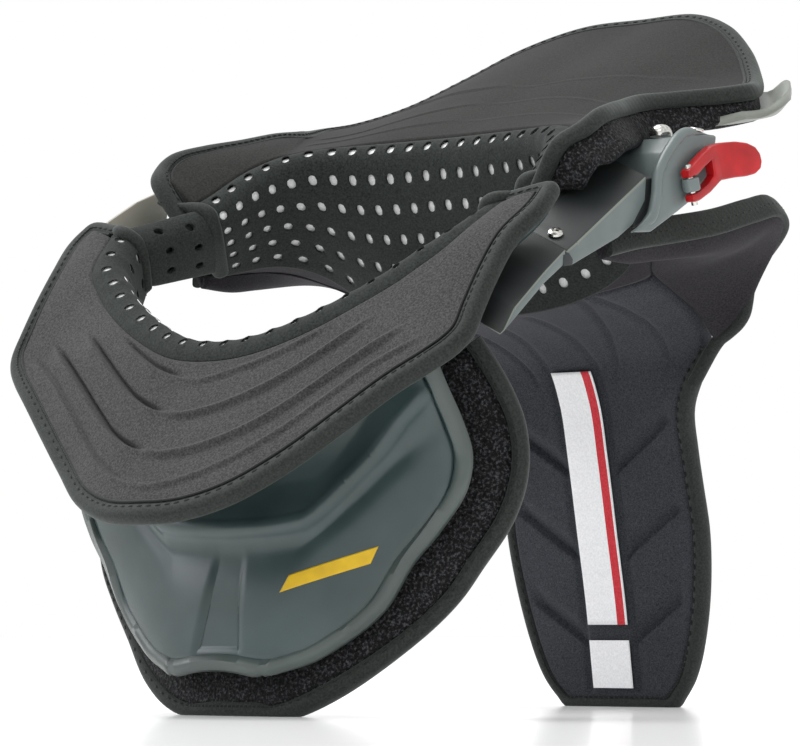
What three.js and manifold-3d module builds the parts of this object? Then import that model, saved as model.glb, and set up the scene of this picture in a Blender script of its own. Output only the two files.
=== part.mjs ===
// Neck brace for karting: two padded tables round a neck opening, a chest plate in front and a strut behind.
// Millimetres, +Z up. The wearer faces -Y and the wearer's left is +X. The brace stands on its chest and back pads.
import * as THREE from 'three';
import { mergeVertices } from 'three/addons/utils/BufferGeometryUtils.js';
import Module from 'manifold-3d';

const wasm = await Module();
wasm.setup();

// Walls, pads and fits
const GAP = 0.4;
const PLATE_GAP = 0.9;
const LAYER_GAP = 1.5;
const FLOOR = 0.8;
const PLATE = 3;
const WALL = 2;
const LEAST_BAND = 0.1;
const TABLE_PAD = 8;
const PAD_EDGE_DROP = 1.6;
const RIDGE = 1.3;
const CHEST_PAD = 9;
const BACK_PAD = 8;
const WING_PAD = 3.4;
const WING_TIP = 0.5;
const WING_TAPER = 1.4;
const LINING = 2.6;
const BACKING = 1;
const PATCH = 0.6;
const TABLE_BINDING = 7.5;
const CHEST_BINDING = 9;
const BACK_BINDING = 6;
const SEAM_GAP = 1.1;
const WALL_SEAT = 4;
const SEAT_DEPTH = 1.3;
const PATCH_ROWS = 12;
const PATCH_ACROSS = 6;
const BEYOND_HALF = 0.97;
const LIP_REACH = 10;
const NECK_CLEAR = 0.015;
const PLATE_INSET = 2.5;
const TABLE_GAP = 2.1;
const PLATE_DROP = 1.2;
const LIP_RISE = 6;
const HOLE_RADIUS = 2;
const HOLE_SIDES = 6;

// Half of the front table from the middle to the end over the shoulder.
// neck: edge at the neck, rim: outer edge, foot: lower edge of the neck lining
const FRONT_TABLE = [
  { neck: [0, -106, 134], rim: [0, -150, 71], foot: [0, -95, 118] },
  { neck: [20, -105, 136], rim: [30, -144, 74.5], foot: [18.5, -94, 120] },
  { neck: [42, -99, 143.5], rim: [60, -129, 91.5], foot: [38.5, -88.5, 127] },
  { neck: [60, -93, 152], rim: [90, -115, 115], foot: [55, -83, 134.5] },
  { neck: [74, -86.5, 160.5], rim: [109, -104.5, 128.5], foot: [67, -77, 142] },
  { neck: [81, -82.5, 166], rim: [117, -98, 137], foot: [74, -72, 147.5] },
  { neck: [88, -78.5, 171], rim: [118, -89, 152], foot: [81, -67, 153] },
  { neck: [94, -70.5, 178], rim: [119, -74.5, 173], foot: [87, -60, 160] },
  { neck: [99, -59, 186.5], rim: [123.5, -58, 188.5], foot: [93, -51, 167] },
  { neck: [102, -51, 193.5], rim: [120, -49, 196], foot: [96, -45, 173] },
];

// Half of the rear table from the middle of the back to the end over the shoulder, columns as above
const REAR_TABLE = [
  { neck: [0, 36, 228], rim: [0, 170, 293], foot: [0, 46, 161] },
  { neck: [22, 34.5, 228], rim: [35, 164.5, 291], foot: [22, 48, 161] },
  { neck: [40, 31.3, 227.6], rim: [62, 150, 279.5], foot: [40, 50.7, 163] },
  { neck: [53, 27.8, 227.2], rim: [85, 130, 262.5], foot: [54.5, 53.5, 167] },
  { neck: [62, 23.6, 226.5], rim: [105, 105, 250], foot: [65, 54.5, 171.5] },
  { neck: [68, 19.8, 225.6], rim: [115, 86, 245.5], foot: [72, 54, 175.5] },
  { neck: [72, 16.5, 224.3], rim: [111, 66, 242.5], foot: [77, 52.5, 179] },
  { neck: [75, 13.5, 223.2], rim: [95, 46, 240], foot: [80.5, 48.5, 182] },
  { neck: [78.5, 8.5, 220.8], rim: [95, 28, 236], foot: [85, 41, 185] },
  { neck: [83, -1, 215.5], rim: [107, 11, 233], foot: [90, 26, 186] },
  { neck: [87.5, -13.5, 207], rim: [114, -8, 229.5], foot: [94, 8, 182.5] },
  { neck: [91.5, -23, 201.5], rim: [115, -21, 223], foot: [96, -7, 178.5] },
  { neck: [97, -31, 199], rim: [109, -32, 216], foot: [99, -20, 174] },
];

// Neck linings: how far round they run, columns of holes, rows by their length from the lip, first row with holes,
// rows of the collar wall behind them
const FRONT_LINING = { end: 0.93, columns: 18, bands: [0, 0.16, 0.36, 0.68, 1], firstBand: 3, wallRows: [0.68, 1] };
const REAR_LINING = { end: 0.89, columns: 16, bands: [0, 0.08, 0.18, 0.38, 0.58, 0.78, 0.98], firstBand: 2, wallRows: [0.4, 0.7, 0.98] };

// Tips of the rear plate that show past the pad at its back corners: stations, reach past the rim
const CORNER_TIP = { from: 0.3, to: 0.5, inner: 0.74, reach: 0.12, thick: 5 };

// Rows of the chest plate from its lower edge up to the underside of the table; mid: middle, edge: left edge
const CHEST_PLATE_ROWS = [
  { mid: [0, -107, 20], edge: [24, -105, 15] },
  { mid: [0, -105.5, 28], edge: [47, -95, 28] },
  { mid: [0, -103, 42], edge: [65, -88, 42] },
  { mid: [0, -99.5, 60], edge: [77.5, -85, 60] },
  { mid: [0, -98, 72], edge: [88, -82, 72] },
  { mid: [0, -97.5, 86], edge: [97, -78.5, 86] },
  { mid: [0, -98.5, 98], edge: [98, -77, 98] },
  { mid: [0, -102, 108], edge: [96, -80, 110] },
  { mid: [0, -107, 115], edge: [93, -86, 124] },
  { mid: [0, -114, 119], edge: [91, -94, 140] },
];

// Rows of the chest pad, its front face, from the floor up
const CHEST_PAD_ROWS = [
  { mid: [0, -101, 0], edge: [27, -100.5, 0] },
  { mid: [0, -101.5, 4], edge: [38, -99, 4] },
  { mid: [0, -100.5, 12.5], edge: [53.5, -92, 12.5] },
  { mid: [0, -98, 29], edge: [75, -79, 29] },
  { mid: [0, -95.7, 43], edge: [89, -72.5, 43] },
  { mid: [0, -95, 56], edge: [98, -69.5, 56] },
  { mid: [0, -93.5, 73], edge: [107, -63, 73] },
  { mid: [0, -93, 87], edge: [110.5, -59, 87] },
  { mid: [0, -93, 98], edge: [111, -57.5, 99] },
  { mid: [0, -93.5, 105], edge: [110, -59, 111] },
  { mid: [0, -94.5, 109], edge: [108, -63, 121] },
  { mid: [0, -96, 112], edge: [105, -68, 131] },
];

// Rows of the back pad, the face towards the wearer, from the floor up the strut and forward under the collar
const BACK_PAD_ROWS = [
  { mid: [0, 144, 0], edge: [28.5, 144, 0] },
  { mid: [0, 142.5, 8], edge: [36.5, 143.5, 8] },
  { mid: [0, 141, 18], edge: [42, 142, 18] },
  { mid: [0, 137, 45], edge: [49.5, 138.5, 45] },
  { mid: [0, 131, 75], edge: [53, 134, 75] },
  { mid: [0, 125, 105], edge: [52, 128, 105] },
  { mid: [0, 119, 130], edge: [57, 117.5, 129] },
  { mid: [0, 109, 147], edge: [73, 114, 150] },
  { mid: [0, 88, 157], edge: [77, 95, 164] },
  { mid: [0, 66, 161], edge: [79, 76, 172] },
  { mid: [0, 48.5, 162], edge: [79, 68, 177] },
];

// Sections of a shoulder wing from its front end to its back corner.
// root: beside the collar and the back pad, fold: lower fold, lip: rolled outer face, top: upper edge of the lip
const WING_ROWS = [
  { root: [103, -4, 180], fold: [104, -4, 177], lip: [106.5, -4, 181], top: [106, -4, 185] },
  { root: [100, 14, 183], fold: [104, 13, 176.5], lip: [108, 13, 182], top: [107, 13, 189] },
  { root: [97, 28, 185], fold: [105, 29, 178.5], lip: [109.5, 29, 185], top: [109, 29, 192] },
  { root: [92, 46, 184], fold: [109, 55, 182.5], lip: [114, 56, 189], top: [112.5, 56, 197] },
  { root: [80.4, 61, 177.6], fold: [110, 78, 187], lip: [116, 80, 195], top: [113, 80, 203] },
  { root: [77.35, 78, 171.4], fold: [108, 95, 190], lip: [115, 98, 199], top: [111, 97, 206] },
  { root: [75.85, 97, 163.4], fold: [98, 106, 181], lip: [109, 110, 196], top: [107, 109, 202] },
  { root: [74.15, 114, 151.4], fold: [87, 114, 161], lip: [91, 113, 173], top: [94, 112.5, 182] },
];

// Adjustable arm on the side, outlines in the side view (y, z); the top face rises towards the neck
const ARM_X = 122;
const ARM_WIDTH = 20;
const ARM_RISE = 10;
const FRONT_ARM = [[-88, 140], [-62, 161], [-49, 169.5], [-49, 175], [-62, 165.5], [-80, 151]];
const SLIDER = [[-46, 168.5], [-16, 181.5], [-7, 187], [1, 197], [2, 207], [-42, 178], [-48.6, 174]];

// Sleeve between the linings: rows of the linings it spans, fractions of the gap between them, thickness
const SLEEVE = { rows: [0.35, 0.9], across: [0.028, 0.972], thick: 2.6 };

// Clasp on the wearer's left
const BRACKET_WALL = 3;
const BRACKET = [
  [-11, 184], [1.5, 190.5], [5, 199], [6.6, 208], [14, 218], [23, 225], [43, 226], [41, 214], [33, 203], [17, 194], [0, 185],
];
const BRACKET_WEB = [[10, 206], [15, 217.5], [23, 224.2], [39, 225.2], [37, 214], [30, 205]];
const BRACKET_WEB_WIDTH = 35.5;
const LEVER_PIVOT = new THREE.Vector3(129.4, 20, 205);
const LEVER_SLOPE = Math.atan2(14, 45);
const LEVER_THICK = 5;
const LEVER_PLATE = [[-2.5, -7], [3, -7.2], [14, -5.5], [24, -2.5], [28, 0], [28, 9], [23, 11], [17, 9.8], [3, 6], [-2.5, 5.5]];
const LEVER_WINDOW = [[5, -3.8], [14, -2.2], [20, 0.2], [20.5, 6.4], [14, 5.2], [5, 2.6]];
const PADDLE = [[24, -2.5], [34, -4.5], [43, -4.5], [46.5, -1], [45, 5.5], [36, 9.5], [23, 11]];
const PADDLE_SPLAY = 0.25;
const SPLAY_FROM = 25;
const PIN_RADIUS = 1.3;
const EAR = { width: 6, height: 2.4 };
const FORK_TOP = 6.2;
const FORK_BOTTOM = -7.6;

// Small hardware
const RIVET = { at: [110, 27, 224.7], radius: 4.5, height: 3.4 };
const SCREW = { at: [113, -44, 181.2], radius: 3, height: 1.6 };

// Blank sewn patches on the back pad: half width, place of the middle and length as fractions of the pad's rows
const PATCHES = [
  { name: 'label_large', half: 10.5, from: 0.268, to: 0.67 },
  { name: 'label_small', half: 10.5, from: 0.11, to: 0.245 },
];

const FINISH = {
  plastic: { color: 0x56615f, roughness: 0.45 },
  fabric: { color: 0x49464a, roughness: 0.9 },
  binding: { color: 0x3b403e, roughness: 0.85 },
  lining: { color: 0x2f3635, roughness: 0.9 },
  backing: { color: 0xd9dcda, roughness: 0.8 },
  loop: { color: 0x161517, roughness: 1 },
  padding: { color: 0x2a2a2f, roughness: 0.9 },
  patch: { color: 0xe8e8ea, roughness: 0.7 },
  lever: { color: 0xd2232f, roughness: 0.35 },
  steel: { color: 0xc9c9c6, roughness: 0.3, metalness: 1 },
};

// Curves and surfaces

const vector = (point) => new THREE.Vector3(...point);
const mirrored = (point) => new THREE.Vector3(-point.x, point.y, point.z);
const spline = (points) => new THREE.CatmullRomCurve3(points, false, 'centripetal');

function bothSides(rows, column) {
  const half = rows.map((row) => vector(row[column]));
  const other = half.slice(1).reverse().map(mirrored);
  return spline([...other, ...half]);
}

// A ring of stations: u runs from the wearer's right end (-1) to the left end (1), v from the neck to the rim
function tableSurface(rows) {
  const neck = bothSides(rows, 'neck');
  const rim = bothSides(rows, 'rim');
  return (u, v) => neck.getPoint((u + 1) / 2).lerp(rim.getPoint((u + 1) / 2), v);
}

// A patch of rows: u runs up the rows (0 to 1), v across from the wearer's right edge (-1) to the left edge (1)
function patchSurface(rows) {
  const middle = spline(rows.map((row) => vector(row.mid)));
  const edge = spline(rows.map((row) => vector(row.edge)));
  return (u, v) => {
    const row = THREE.MathUtils.clamp(u, 0, 1);
    const from = middle.getPoint(row);
    const to = edge.getPoint(row);
    const y = THREE.MathUtils.lerp(from.y, to.y, Math.abs(v) ** 2.4);
    return new THREE.Vector3(v * to.x, y, THREE.MathUtils.lerp(from.z, to.z, v * v));
  };
}

function surfaceNormal(surface, u, v, facing) {
  const step = 1e-3;
  const along = surface(Math.min(u + step, 1), v).sub(surface(Math.max(u - step, -1), v));
  const across = surface(u, v + step).sub(surface(u, v - step));
  return along.cross(across).normalize().multiplyScalar(facing);
}

// The neck lining rolls over the neck edge of a table and hangs down to its foot
function liningSurface(rows, table, facing) {
  const foot = bothSides(rows, 'foot');
  return (u, v) => {
    const neck = table(u, 0);
    const inward = neck.clone().sub(table(u, 1)).normalize();
    const up = surfaceNormal(table, u, 0.001, facing);
    const at = (reach, rise) => neck.clone().addScaledVector(inward, reach).addScaledVector(up, rise);
    const section = spline([
      at(2 * GAP, LIP_RISE),
      at(0.65 * LIP_REACH, LIP_RISE),
      at(LIP_REACH, 1),
      foot.getPoint((u + 1) / 2),
    ]);
    section.arcLengthDivisions = 24;
    return section.getPointAt(THREE.MathUtils.clamp(v, 0, 1));
  };
}

function pathDistance(path, point) {
  const line = new THREE.Line3();
  const nearest = new THREE.Vector3();
  let least = Infinity;
  for (let i = 1; i < path.length; i += 1) {
    line.set(path[i - 1], path[i]).closestPointToPoint(point, true, nearest);
    least = Math.min(least, nearest.distanceTo(point));
  }
  return least;
}

// Largest parameter up to which a line of the surface stays a margin clear of the path
function clearUpTo(pointAt, path, margin) {
  let low = 0;
  let high = 1;
  for (let k = 0; k < 24; k += 1) {
    const middle = (low + high) / 2;
    if (pathDistance(path, pointAt(middle)) > margin) low = middle;
    else high = middle;
  }
  return low;
}

// Closed bodies

function turnedOut(geometry) {
  const p = geometry.getAttribute('position');
  const index = geometry.getIndex().array;
  const corner = (k) => new THREE.Vector3().fromBufferAttribute(p, index[k]);
  let volume = 0;
  for (let k = 0; k < index.length; k += 3) volume += corner(k).dot(corner(k + 1).cross(corner(k + 2)));
  if (volume < 0) {
    for (let k = 0; k < index.length; k += 3) [index[k], index[k + 1]] = [index[k + 1], index[k]];
  }
  return geometry;
}

function bodyFrom(points, faces) {
  const geometry = new THREE.BufferGeometry().setFromPoints(points);
  geometry.setIndex(faces);
  return turnedOut(geometry);
}

// A sheet on a grid of places, from a lower to an upper offset along the normals
function slab(places, normals, lower, upper) {
  const rows = places.length;
  const columns = places[0].length;
  const points = [];
  const faces = [];
  for (const offset of [upper, lower]) {
    places.forEach((row, i) => row.forEach((place, j) => {
      points.push(place.clone().addScaledVector(normals[i][j], offset(i, j)));
    }));
  }
  const at = (side, i, j) => (side * rows + i) * columns + j;
  const quad = (a, b, c, d) => faces.push(a, b, c, a, c, d);
  for (let i = 0; i + 1 < rows; i += 1) {
    for (let j = 0; j + 1 < columns; j += 1) {
      quad(at(0, i, j), at(0, i + 1, j), at(0, i + 1, j + 1), at(0, i, j + 1));
      quad(at(1, i, j), at(1, i, j + 1), at(1, i + 1, j + 1), at(1, i + 1, j));
    }
    quad(at(0, i, 0), at(1, i, 0), at(1, i + 1, 0), at(0, i + 1, 0));
    quad(at(0, i, columns - 1), at(0, i + 1, columns - 1), at(1, i + 1, columns - 1), at(1, i, columns - 1));
  }
  for (let j = 0; j + 1 < columns; j += 1) {
    quad(at(0, 0, j), at(0, 0, j + 1), at(1, 0, j + 1), at(1, 0, j));
    quad(at(0, rows - 1, j), at(1, rows - 1, j), at(1, rows - 1, j + 1), at(0, rows - 1, j + 1));
  }
  return bodyFrom(points, faces);
}

// A slab over part of a surface: params[i][j] holds the surface's own (u, v)
function sheet(surface, params, facing, lower, upper) {
  const places = params.map((row) => row.map(([u, v]) => surface(u, v)));
  const normals = params.map((row) => row.map(([u, v]) => surfaceNormal(surface, u, v, facing)));
  const asOffset = (value) => (typeof value === 'function' ? value : () => value);
  return slab(places, normals, asOffset(lower), asOffset(upper));
}

const steps = (from, to, count) => Array.from({ length: count + 1 }, (_, k) => from + (to - from) * k / count);

// Directions into the pad along its outline, lengthened at the corners so that offsets stay parallel
function inwardAlong(path, normals, inwards) {
  const side = (i, k) => path[k].clone().sub(path[k - 1]).normalize().cross(normals[i]).multiplyScalar(-inwards);
  return path.map((_, i) => {
    const before = side(i, Math.max(i, 1)).normalize();
    const after = side(i, Math.min(i + 1, path.length - 1)).normalize();
    const middle = before.clone().add(after).normalize();
    return middle.divideScalar(Math.max(middle.dot(before), 0.6));
  });
}

const offsetPath = (path, inward, reach) => path.map((place, i) => place.clone().addScaledVector(inward[i], reach));

// A section swept along a path; a section point is (distance in from the path, height)
function edging({ path, normals, inward }, section) {
  const points = [];
  const faces = [];
  const ring = section.length;
  path.forEach((place, i) => {
    for (const [reach, rise] of section) {
      points.push(place.clone().addScaledVector(inward[i], reach).addScaledVector(normals[i], rise));
    }
  });
  for (let i = 0; i + 1 < path.length; i += 1) {
    for (let k = 0; k < ring; k += 1) {
      const next = (k + 1) % ring;
      const [a, b] = [i * ring + k, i * ring + next];
      faces.push(a, b, b + ring, a, b + ring, a + ring);
    }
  }
  const last = (path.length - 1) * ring;
  for (let k = 1; k + 1 < ring; k += 1) {
    faces.push(0, k + 1, k);
    faces.push(last, last + k, last + k + 1);
  }
  return bodyFrom(points, faces);
}

const bindingSection = (width, low, high) => [
  [width, low], [1.6, low], [0, low + 1.8], [0, high - 2.4], [1.8, high - 0.4], [width, high],
];

// An outline in a side view (y, z) given a width inwards from x; its top may rise towards the neck
function sidePlate(outline, x, width, rise) {
  const shape = new THREE.Shape(outline.map(([y, z]) => new THREE.Vector2(y, z)));
  const geometry = mergedBody(new THREE.ExtrudeGeometry(shape, { depth: width, bevelEnabled: false }));
  const p = geometry.getAttribute('position');
  for (let k = 0; k < p.count; k += 1) {
    const depth = p.getZ(k);
    p.setXYZ(k, x - depth, p.getX(k), p.getY(k) + rise * depth / width);
  }
  return turnedOut(geometry);
}

function mergedBody(geometry) {
  geometry.deleteAttribute('normal');
  geometry.deleteAttribute('uv');
  const merged = mergeVertices(geometry, 1e-4);
  const index = Array.from(merged.getIndex().array);
  const faces = [];
  for (let k = 0; k < index.length; k += 3) {
    const [a, b, c] = index.slice(k, k + 3);
    if (a !== b && b !== c && c !== a) faces.push(a, b, c);
  }
  merged.setIndex(faces);
  return turnedOut(merged);
}

function mirrorBody(geometry) {
  return turnedOut(geometry.clone().scale(-1, 1, 1));
}

function solid(geometry) {
  return new wasm.Manifold(new wasm.Mesh({
    numProp: 3,
    vertProperties: Float32Array.from(geometry.getAttribute('position').array),
    triVerts: Uint32Array.from(geometry.getIndex().array),
  }));
}

function geometryOf(manifold) {
  const { vertProperties, triVerts } = manifold.getMesh();
  const geometry = new THREE.BufferGeometry();
  geometry.setAttribute('position', new THREE.BufferAttribute(Float32Array.from(vertProperties), 3));
  geometry.setIndex(Array.from(triVerts));
  return geometry;
}

const joined = (geometries) => geometryOf(geometries.map(solid).reduce((whole, piece) => whole.add(piece)));

// A sheet on a grid of cells, some of them with a six-sided hole; the columns are u, the rows v
function punchedSheet(surface, us, vs, facing, thick, hasHole) {
  const points = [];
  const faces = [];
  const add = (place, normal) => {
    points.push(place.clone(), place.clone().addScaledVector(normal, -thick));
    return points.length - 2;
  };
  const flat = (a, b, c) => faces.push(a, b, c, a + 1, c + 1, b + 1);
  const wall = (a, b) => faces.push(a, b, b + 1, a, b + 1, a + 1);
  const corners = us.map((u) => vs.map((v) => add(surface(u, v), surfaceNormal(surface, u, v, facing))));
  const hole = (u, v, loop) => {
    const centre = surface(u, v);
    const normal = surfaceNormal(surface, u, v, facing);
    const alongU = surface(u + 0.01, v).sub(surface(u - 0.01, v)).normalize();
    const alongV = normal.clone().cross(alongU).multiplyScalar(facing);
    const rim = Array.from({ length: HOLE_SIDES }, (_, k) => {
      const angle = 2 * Math.PI * k / HOLE_SIDES;
      const place = centre.clone().addScaledVector(alongU, HOLE_RADIUS * Math.cos(angle));
      return add(place.addScaledVector(alongV, HOLE_RADIUS * Math.sin(angle)), normal);
    });
    const stops = [
      ...rim.map((at, k) => ({ angle: k / HOLE_SIDES, at, onRim: true })),
      ...loop.map((at, k) => ({ angle: (k + 0.5) / loop.length, at, onRim: false })),
    ].sort((a, b) => a.angle - b.angle);
    let inner = rim[0];
    let outer = loop[loop.length - 1];
    for (const { at, onRim } of [...stops.slice(1), stops[0]]) {
      flat(inner, outer, at);
      if (onRim) {
        wall(inner, at);
        inner = at;
      } else {
        outer = at;
      }
    }
  };
  for (let i = 0; i + 1 < us.length; i += 1) {
    for (let j = 0; j + 1 < vs.length; j += 1) {
      const loop = [corners[i + 1][j + 1], corners[i][j + 1], corners[i][j], corners[i + 1][j]];
      if (hasHole(i, j)) {
        hole((us[i] + us[i + 1]) / 2, (vs[j] + vs[j + 1]) / 2, loop);
      } else {
        flat(loop[0], loop[1], loop[2]);
        flat(loop[0], loop[2], loop[3]);
      }
    }
  }
  const border = [
    ...corners.map((column) => column[0]),
    ...corners[us.length - 1].slice(1),
    ...corners.slice(0, -1).reverse().map((column) => column[vs.length - 1]),
    ...corners[0].slice(1, -1).reverse(),
  ];
  border.forEach((at, k) => wall(border[(k + 1) % border.length], at));
  return bodyFrom(points, faces);
}

// Cloth that rests on the floor is pressed flat there
function pressed(geometry) {
  const p = geometry.getAttribute('position');
  for (let k = 0; k < p.count; k += 1) p.setZ(k, Math.max(p.getZ(k), FLOOR));
  return geometry;
}

const brace = new THREE.Group();

function addPiece(name, geometry, finish) {
  geometry.computeVertexNormals();
  const piece = new THREE.Mesh(geometry, new THREE.MeshStandardMaterial(FINISH[finish]));
  piece.name = name;
  brace.add(piece);
}

// Tables: a plate, a padded cover with ridges, and a binding round the cover's outer edge

const TABLE_STATIONS = 28;
const TABLE_ACROSS = 7;
const OUTLINE_SLOPE_AT = 0.5;

function tableOutline(table, facing) {
  const stations = steps(-1, 1, TABLE_STATIONS);
  const path = [table(-1, 0), ...stations.map((u) => table(u, 1)), table(1, 0)];
  const normals = [-1, ...stations, 1].map((u) => surfaceNormal(table, u, OUTLINE_SLOPE_AT, facing));
  return { path, normals, inward: inwardAlong(path, normals, -facing) };
}

function padTop(j, u, ridgeSpan) {
  const across = j / TABLE_ACROSS;
  const edge = PAD_EDGE_DROP * (Math.abs(2 * across - 1) ** 4);
  const fade = Math.max(0, 1 - (Math.abs(u) / ridgeSpan) ** 4);
  const wave = j > 1 && j < TABLE_ACROSS ? RIDGE * (j % 2 ? 0 : 1) : 0;
  return TABLE_PAD - edge - wave * fade;
}

function buildTable(prefix, rows, facing, ridgeSpan) {
  const table = tableSurface(rows);
  const outline = tableOutline(table, facing);
  const inset = TABLE_BINDING + SEAM_GAP;
  const reach = clearUpTo((u) => table(u, 0), outline.path, inset + SEAM_GAP);
  const stations = steps(-reach, reach, TABLE_STATIONS);
  const outer = offsetPath(outline.path, outline.inward, inset).slice(1, -1);
  const plateEdge = offsetPath(outline.path, outline.inward, inset + PLATE_INSET).slice(1, -1);
  const places = (across, edge) => stations.map((u, i) => across.map((v) => table(u, NECK_CLEAR).lerp(edge[i], v)));
  const normals = (across) => stations.map((u, i) => across.map((v) => (
    surfaceNormal(table, u, v, facing).lerp(outline.normals[i + 1], v).normalize()
  )));
  const full = steps(0, 1, TABLE_ACROSS);
  const top = (i, j) => padTop(j, stations[i], ridgeSpan);
  addPiece(`${prefix}_table_pad`, slab(places(full, outer), normals(full), () => 0, top), 'fabric');
  const section = bindingSection(TABLE_BINDING, 0, TABLE_PAD - PAD_EDGE_DROP + 0.4);
  addPiece(`${prefix}_table_binding`, edging(outline, section), 'binding');
  const coarse = steps(0, 1, 3);
  const face = (i, j) => -TABLE_GAP - PLATE_DROP * coarse[j];
  const plate = slab(places(coarse, plateEdge), normals(coarse), (i, j) => face(i, j) - PLATE, face);
  return { table, plate };
}

// Neck linings: a punched sheet, the pale backing behind it and the collar wall of the chassis, on one grid

function buildLining(prefix, rows, table, facing, { end, columns, bands, firstBand, wallRows }) {
  const lining = liningSurface(rows, table, facing);
  const inner = -facing;
  const us = steps(-end, end, columns);
  const punched = (i, j) => j >= firstBand && bands[j + 1] - bands[j] > LEAST_BAND;
  addPiece(`${prefix}_neck_lining`, punchedSheet(lining, us, bands, inner, LINING, punched), 'lining');
  const lower = bands.slice(firstBand);
  const back = -LINING - LAYER_GAP;
  const grid = us.map((u) => lower.map((v) => [u, v]));
  addPiece(`${prefix}_lining_backing`, sheet(lining, grid, inner, back - BACKING, back), 'backing');
  const behind = back - BACKING - LAYER_GAP - WALL / 2;
  const hung = (u, v) => lining(u, v).addScaledVector(surfaceNormal(lining, u, v, inner), behind);
  const seat = (u) => {
    const v = WALL_SEAT / table(u, 0).distanceTo(table(u, 1));
    return table(u, v).addScaledVector(surfaceNormal(table, u, v, facing), -TABLE_GAP - PLATE + SEAT_DEPTH);
  };
  const within = us.slice(1, -1);
  const places = within.map((u) => [seat(u), ...wallRows.map((v) => hung(u, v))]);
  const normals = within.map((u) => {
    const faces = wallRows.map((v) => surfaceNormal(lining, u, v, inner));
    return [faces[0], ...faces];
  });
  const wall = slab(places, normals, () => -WALL / 2, () => WALL / 2);
  return { lining, wall };
}

// Pads on a patch: the padded body inside its binding

function patchOutline(patch, facing, topRow, inset) {
  const up = steps(0, topRow, PATCH_ROWS);
  const params = [
    ...[...up].reverse().map((u) => [u, -1]),
    ...steps(-1, 1, 6).slice(1, -1).map((v) => [0, v]),
    ...up.map((u) => [u, 1]),
  ];
  const path = params.map(([u, v]) => patch(u, v));
  const normals = params.map(([u, v]) => surfaceNormal(patch, Math.max(u, 0.002), v * 0.99, facing));
  const inward = inwardAlong(path, normals, 1);
  const edge = offsetPath(path, inward, inset).slice(-PATCH_ROWS - 1);
  const lowest = 1 - clearUpTo((t) => patch(1 - t, 0), path, inset);
  return { path, normals, inward, edge, lowest };
}

// Slabs on the surface inside the binding, whose rows run up to the top row and then on over the patch
function insetPatch(patch, { edge, lowest }, facing, topRow, beyond) {
  const rows = edge.map((place, k) => ({
    mid: patch(lowest + (topRow - lowest) * k / PATCH_ROWS, 0).toArray(),
    edge: place.toArray(),
  }));
  const more = beyond.map((u) => ({ mid: patch(u, 0).toArray(), edge: patch(u, BEYOND_HALF).toArray() }));
  const inner = patchSurface([...rows, ...more]);
  const us = [...steps(0, topRow, PATCH_ROWS), ...beyond];
  return ({ first, last, half, lower, upper }) => {
    const across = steps(-half, half, PATCH_ACROSS);
    const picked = steps(first, last, last - first);
    const places = picked.map((k) => across.map((v) => inner(k / (us.length - 1), v)));
    const normals = picked.map((k) => across.map((v) => surfaceNormal(patch, Math.max(us[k], 0.002), v * 0.99, facing)));
    return slab(places, normals, () => lower, () => upper);
  };
}

const FRONT_FACING = -1;
const REAR_FACING = 1;
const PATCH_FACING = -1;

// Front half

const front = buildTable('front', FRONT_TABLE, FRONT_FACING, 0.6);
const frontCollar = buildLining('front', FRONT_TABLE, front.table, FRONT_FACING, FRONT_LINING);
const chestPlate = patchSurface(CHEST_PLATE_ROWS);
const plateGrid = steps(0, 1, 9).map((u) => steps(-1, 1, 8).map((v) => [u, v]));
const frontArm = sidePlate(FRONT_ARM, ARM_X, ARM_WIDTH, ARM_RISE);
addPiece('front_chassis', joined([
  front.plate,
  frontCollar.wall,
  sheet(chestPlate, plateGrid, PATCH_FACING, -PLATE, 0),
  frontArm,
  mirrorBody(frontArm),
]), 'plastic');

const chestPad = patchSurface(CHEST_PAD_ROWS);
const chestOutline = patchOutline(chestPad, PATCH_FACING, 1, CHEST_BINDING + SEAM_GAP);
const chestSlab = insetPatch(chestPad, chestOutline, PATCH_FACING, 1, []);
addPiece('chest_pad', chestSlab({ first: 0, last: PATCH_ROWS, half: 1, lower: -CHEST_PAD, upper: 0 }), 'loop');
addPiece('chest_pad_binding', pressed(edging(chestOutline, bindingSection(CHEST_BINDING, -CHEST_PAD, 0.5))), 'binding');

// Rear half

function cornerTip(side) {
  const { from, to, inner, reach, thick } = CORNER_TIP;
  const grid = steps(from, to, 4).map((u) => {
    const bulge = reach * Math.sin(Math.PI * (u - from) / (to - from));
    return steps(inner, 1 + bulge, 2).map((v) => [side * u, v]);
  });
  return sheet(rear.table, grid, REAR_FACING, -TABLE_GAP - thick, -TABLE_GAP - PLATE_DROP);
}

const rear = buildTable('rear', REAR_TABLE, REAR_FACING, 0.45);
const rearCollar = buildLining('rear', REAR_TABLE, rear.table, REAR_FACING, REAR_LINING);
const backPad = patchSurface(BACK_PAD_ROWS);
const BACK_BOUND = 0.68;
const BACK_BEYOND = [0.76, 0.84, 0.92, 1];
const STRUT_HALF = 0.8;
const backOutline = patchOutline(backPad, PATCH_FACING, BACK_BOUND, BACK_BINDING + SEAM_GAP);
const backSlab = insetPatch(backPad, backOutline, PATCH_FACING, BACK_BOUND, BACK_BEYOND);
const backRows = PATCH_ROWS + BACK_BEYOND.length;
const strutFace = -BACK_PAD - PLATE_GAP;
addPiece('rear_chassis', joined([
  rear.plate,
  rearCollar.wall,
  cornerTip(1),
  cornerTip(-1),
  backSlab({ first: 1, last: backRows, half: STRUT_HALF, lower: strutFace - PLATE, upper: strutFace }),
]), 'plastic');
addPiece('back_pad', backSlab({ first: 0, last: backRows - 1, half: 1, lower: -BACK_PAD, upper: 0 }), 'padding');
addPiece('back_pad_binding', pressed(edging(backOutline, bindingSection(BACK_BINDING, -BACK_PAD, 0.5))), 'binding');

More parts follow.
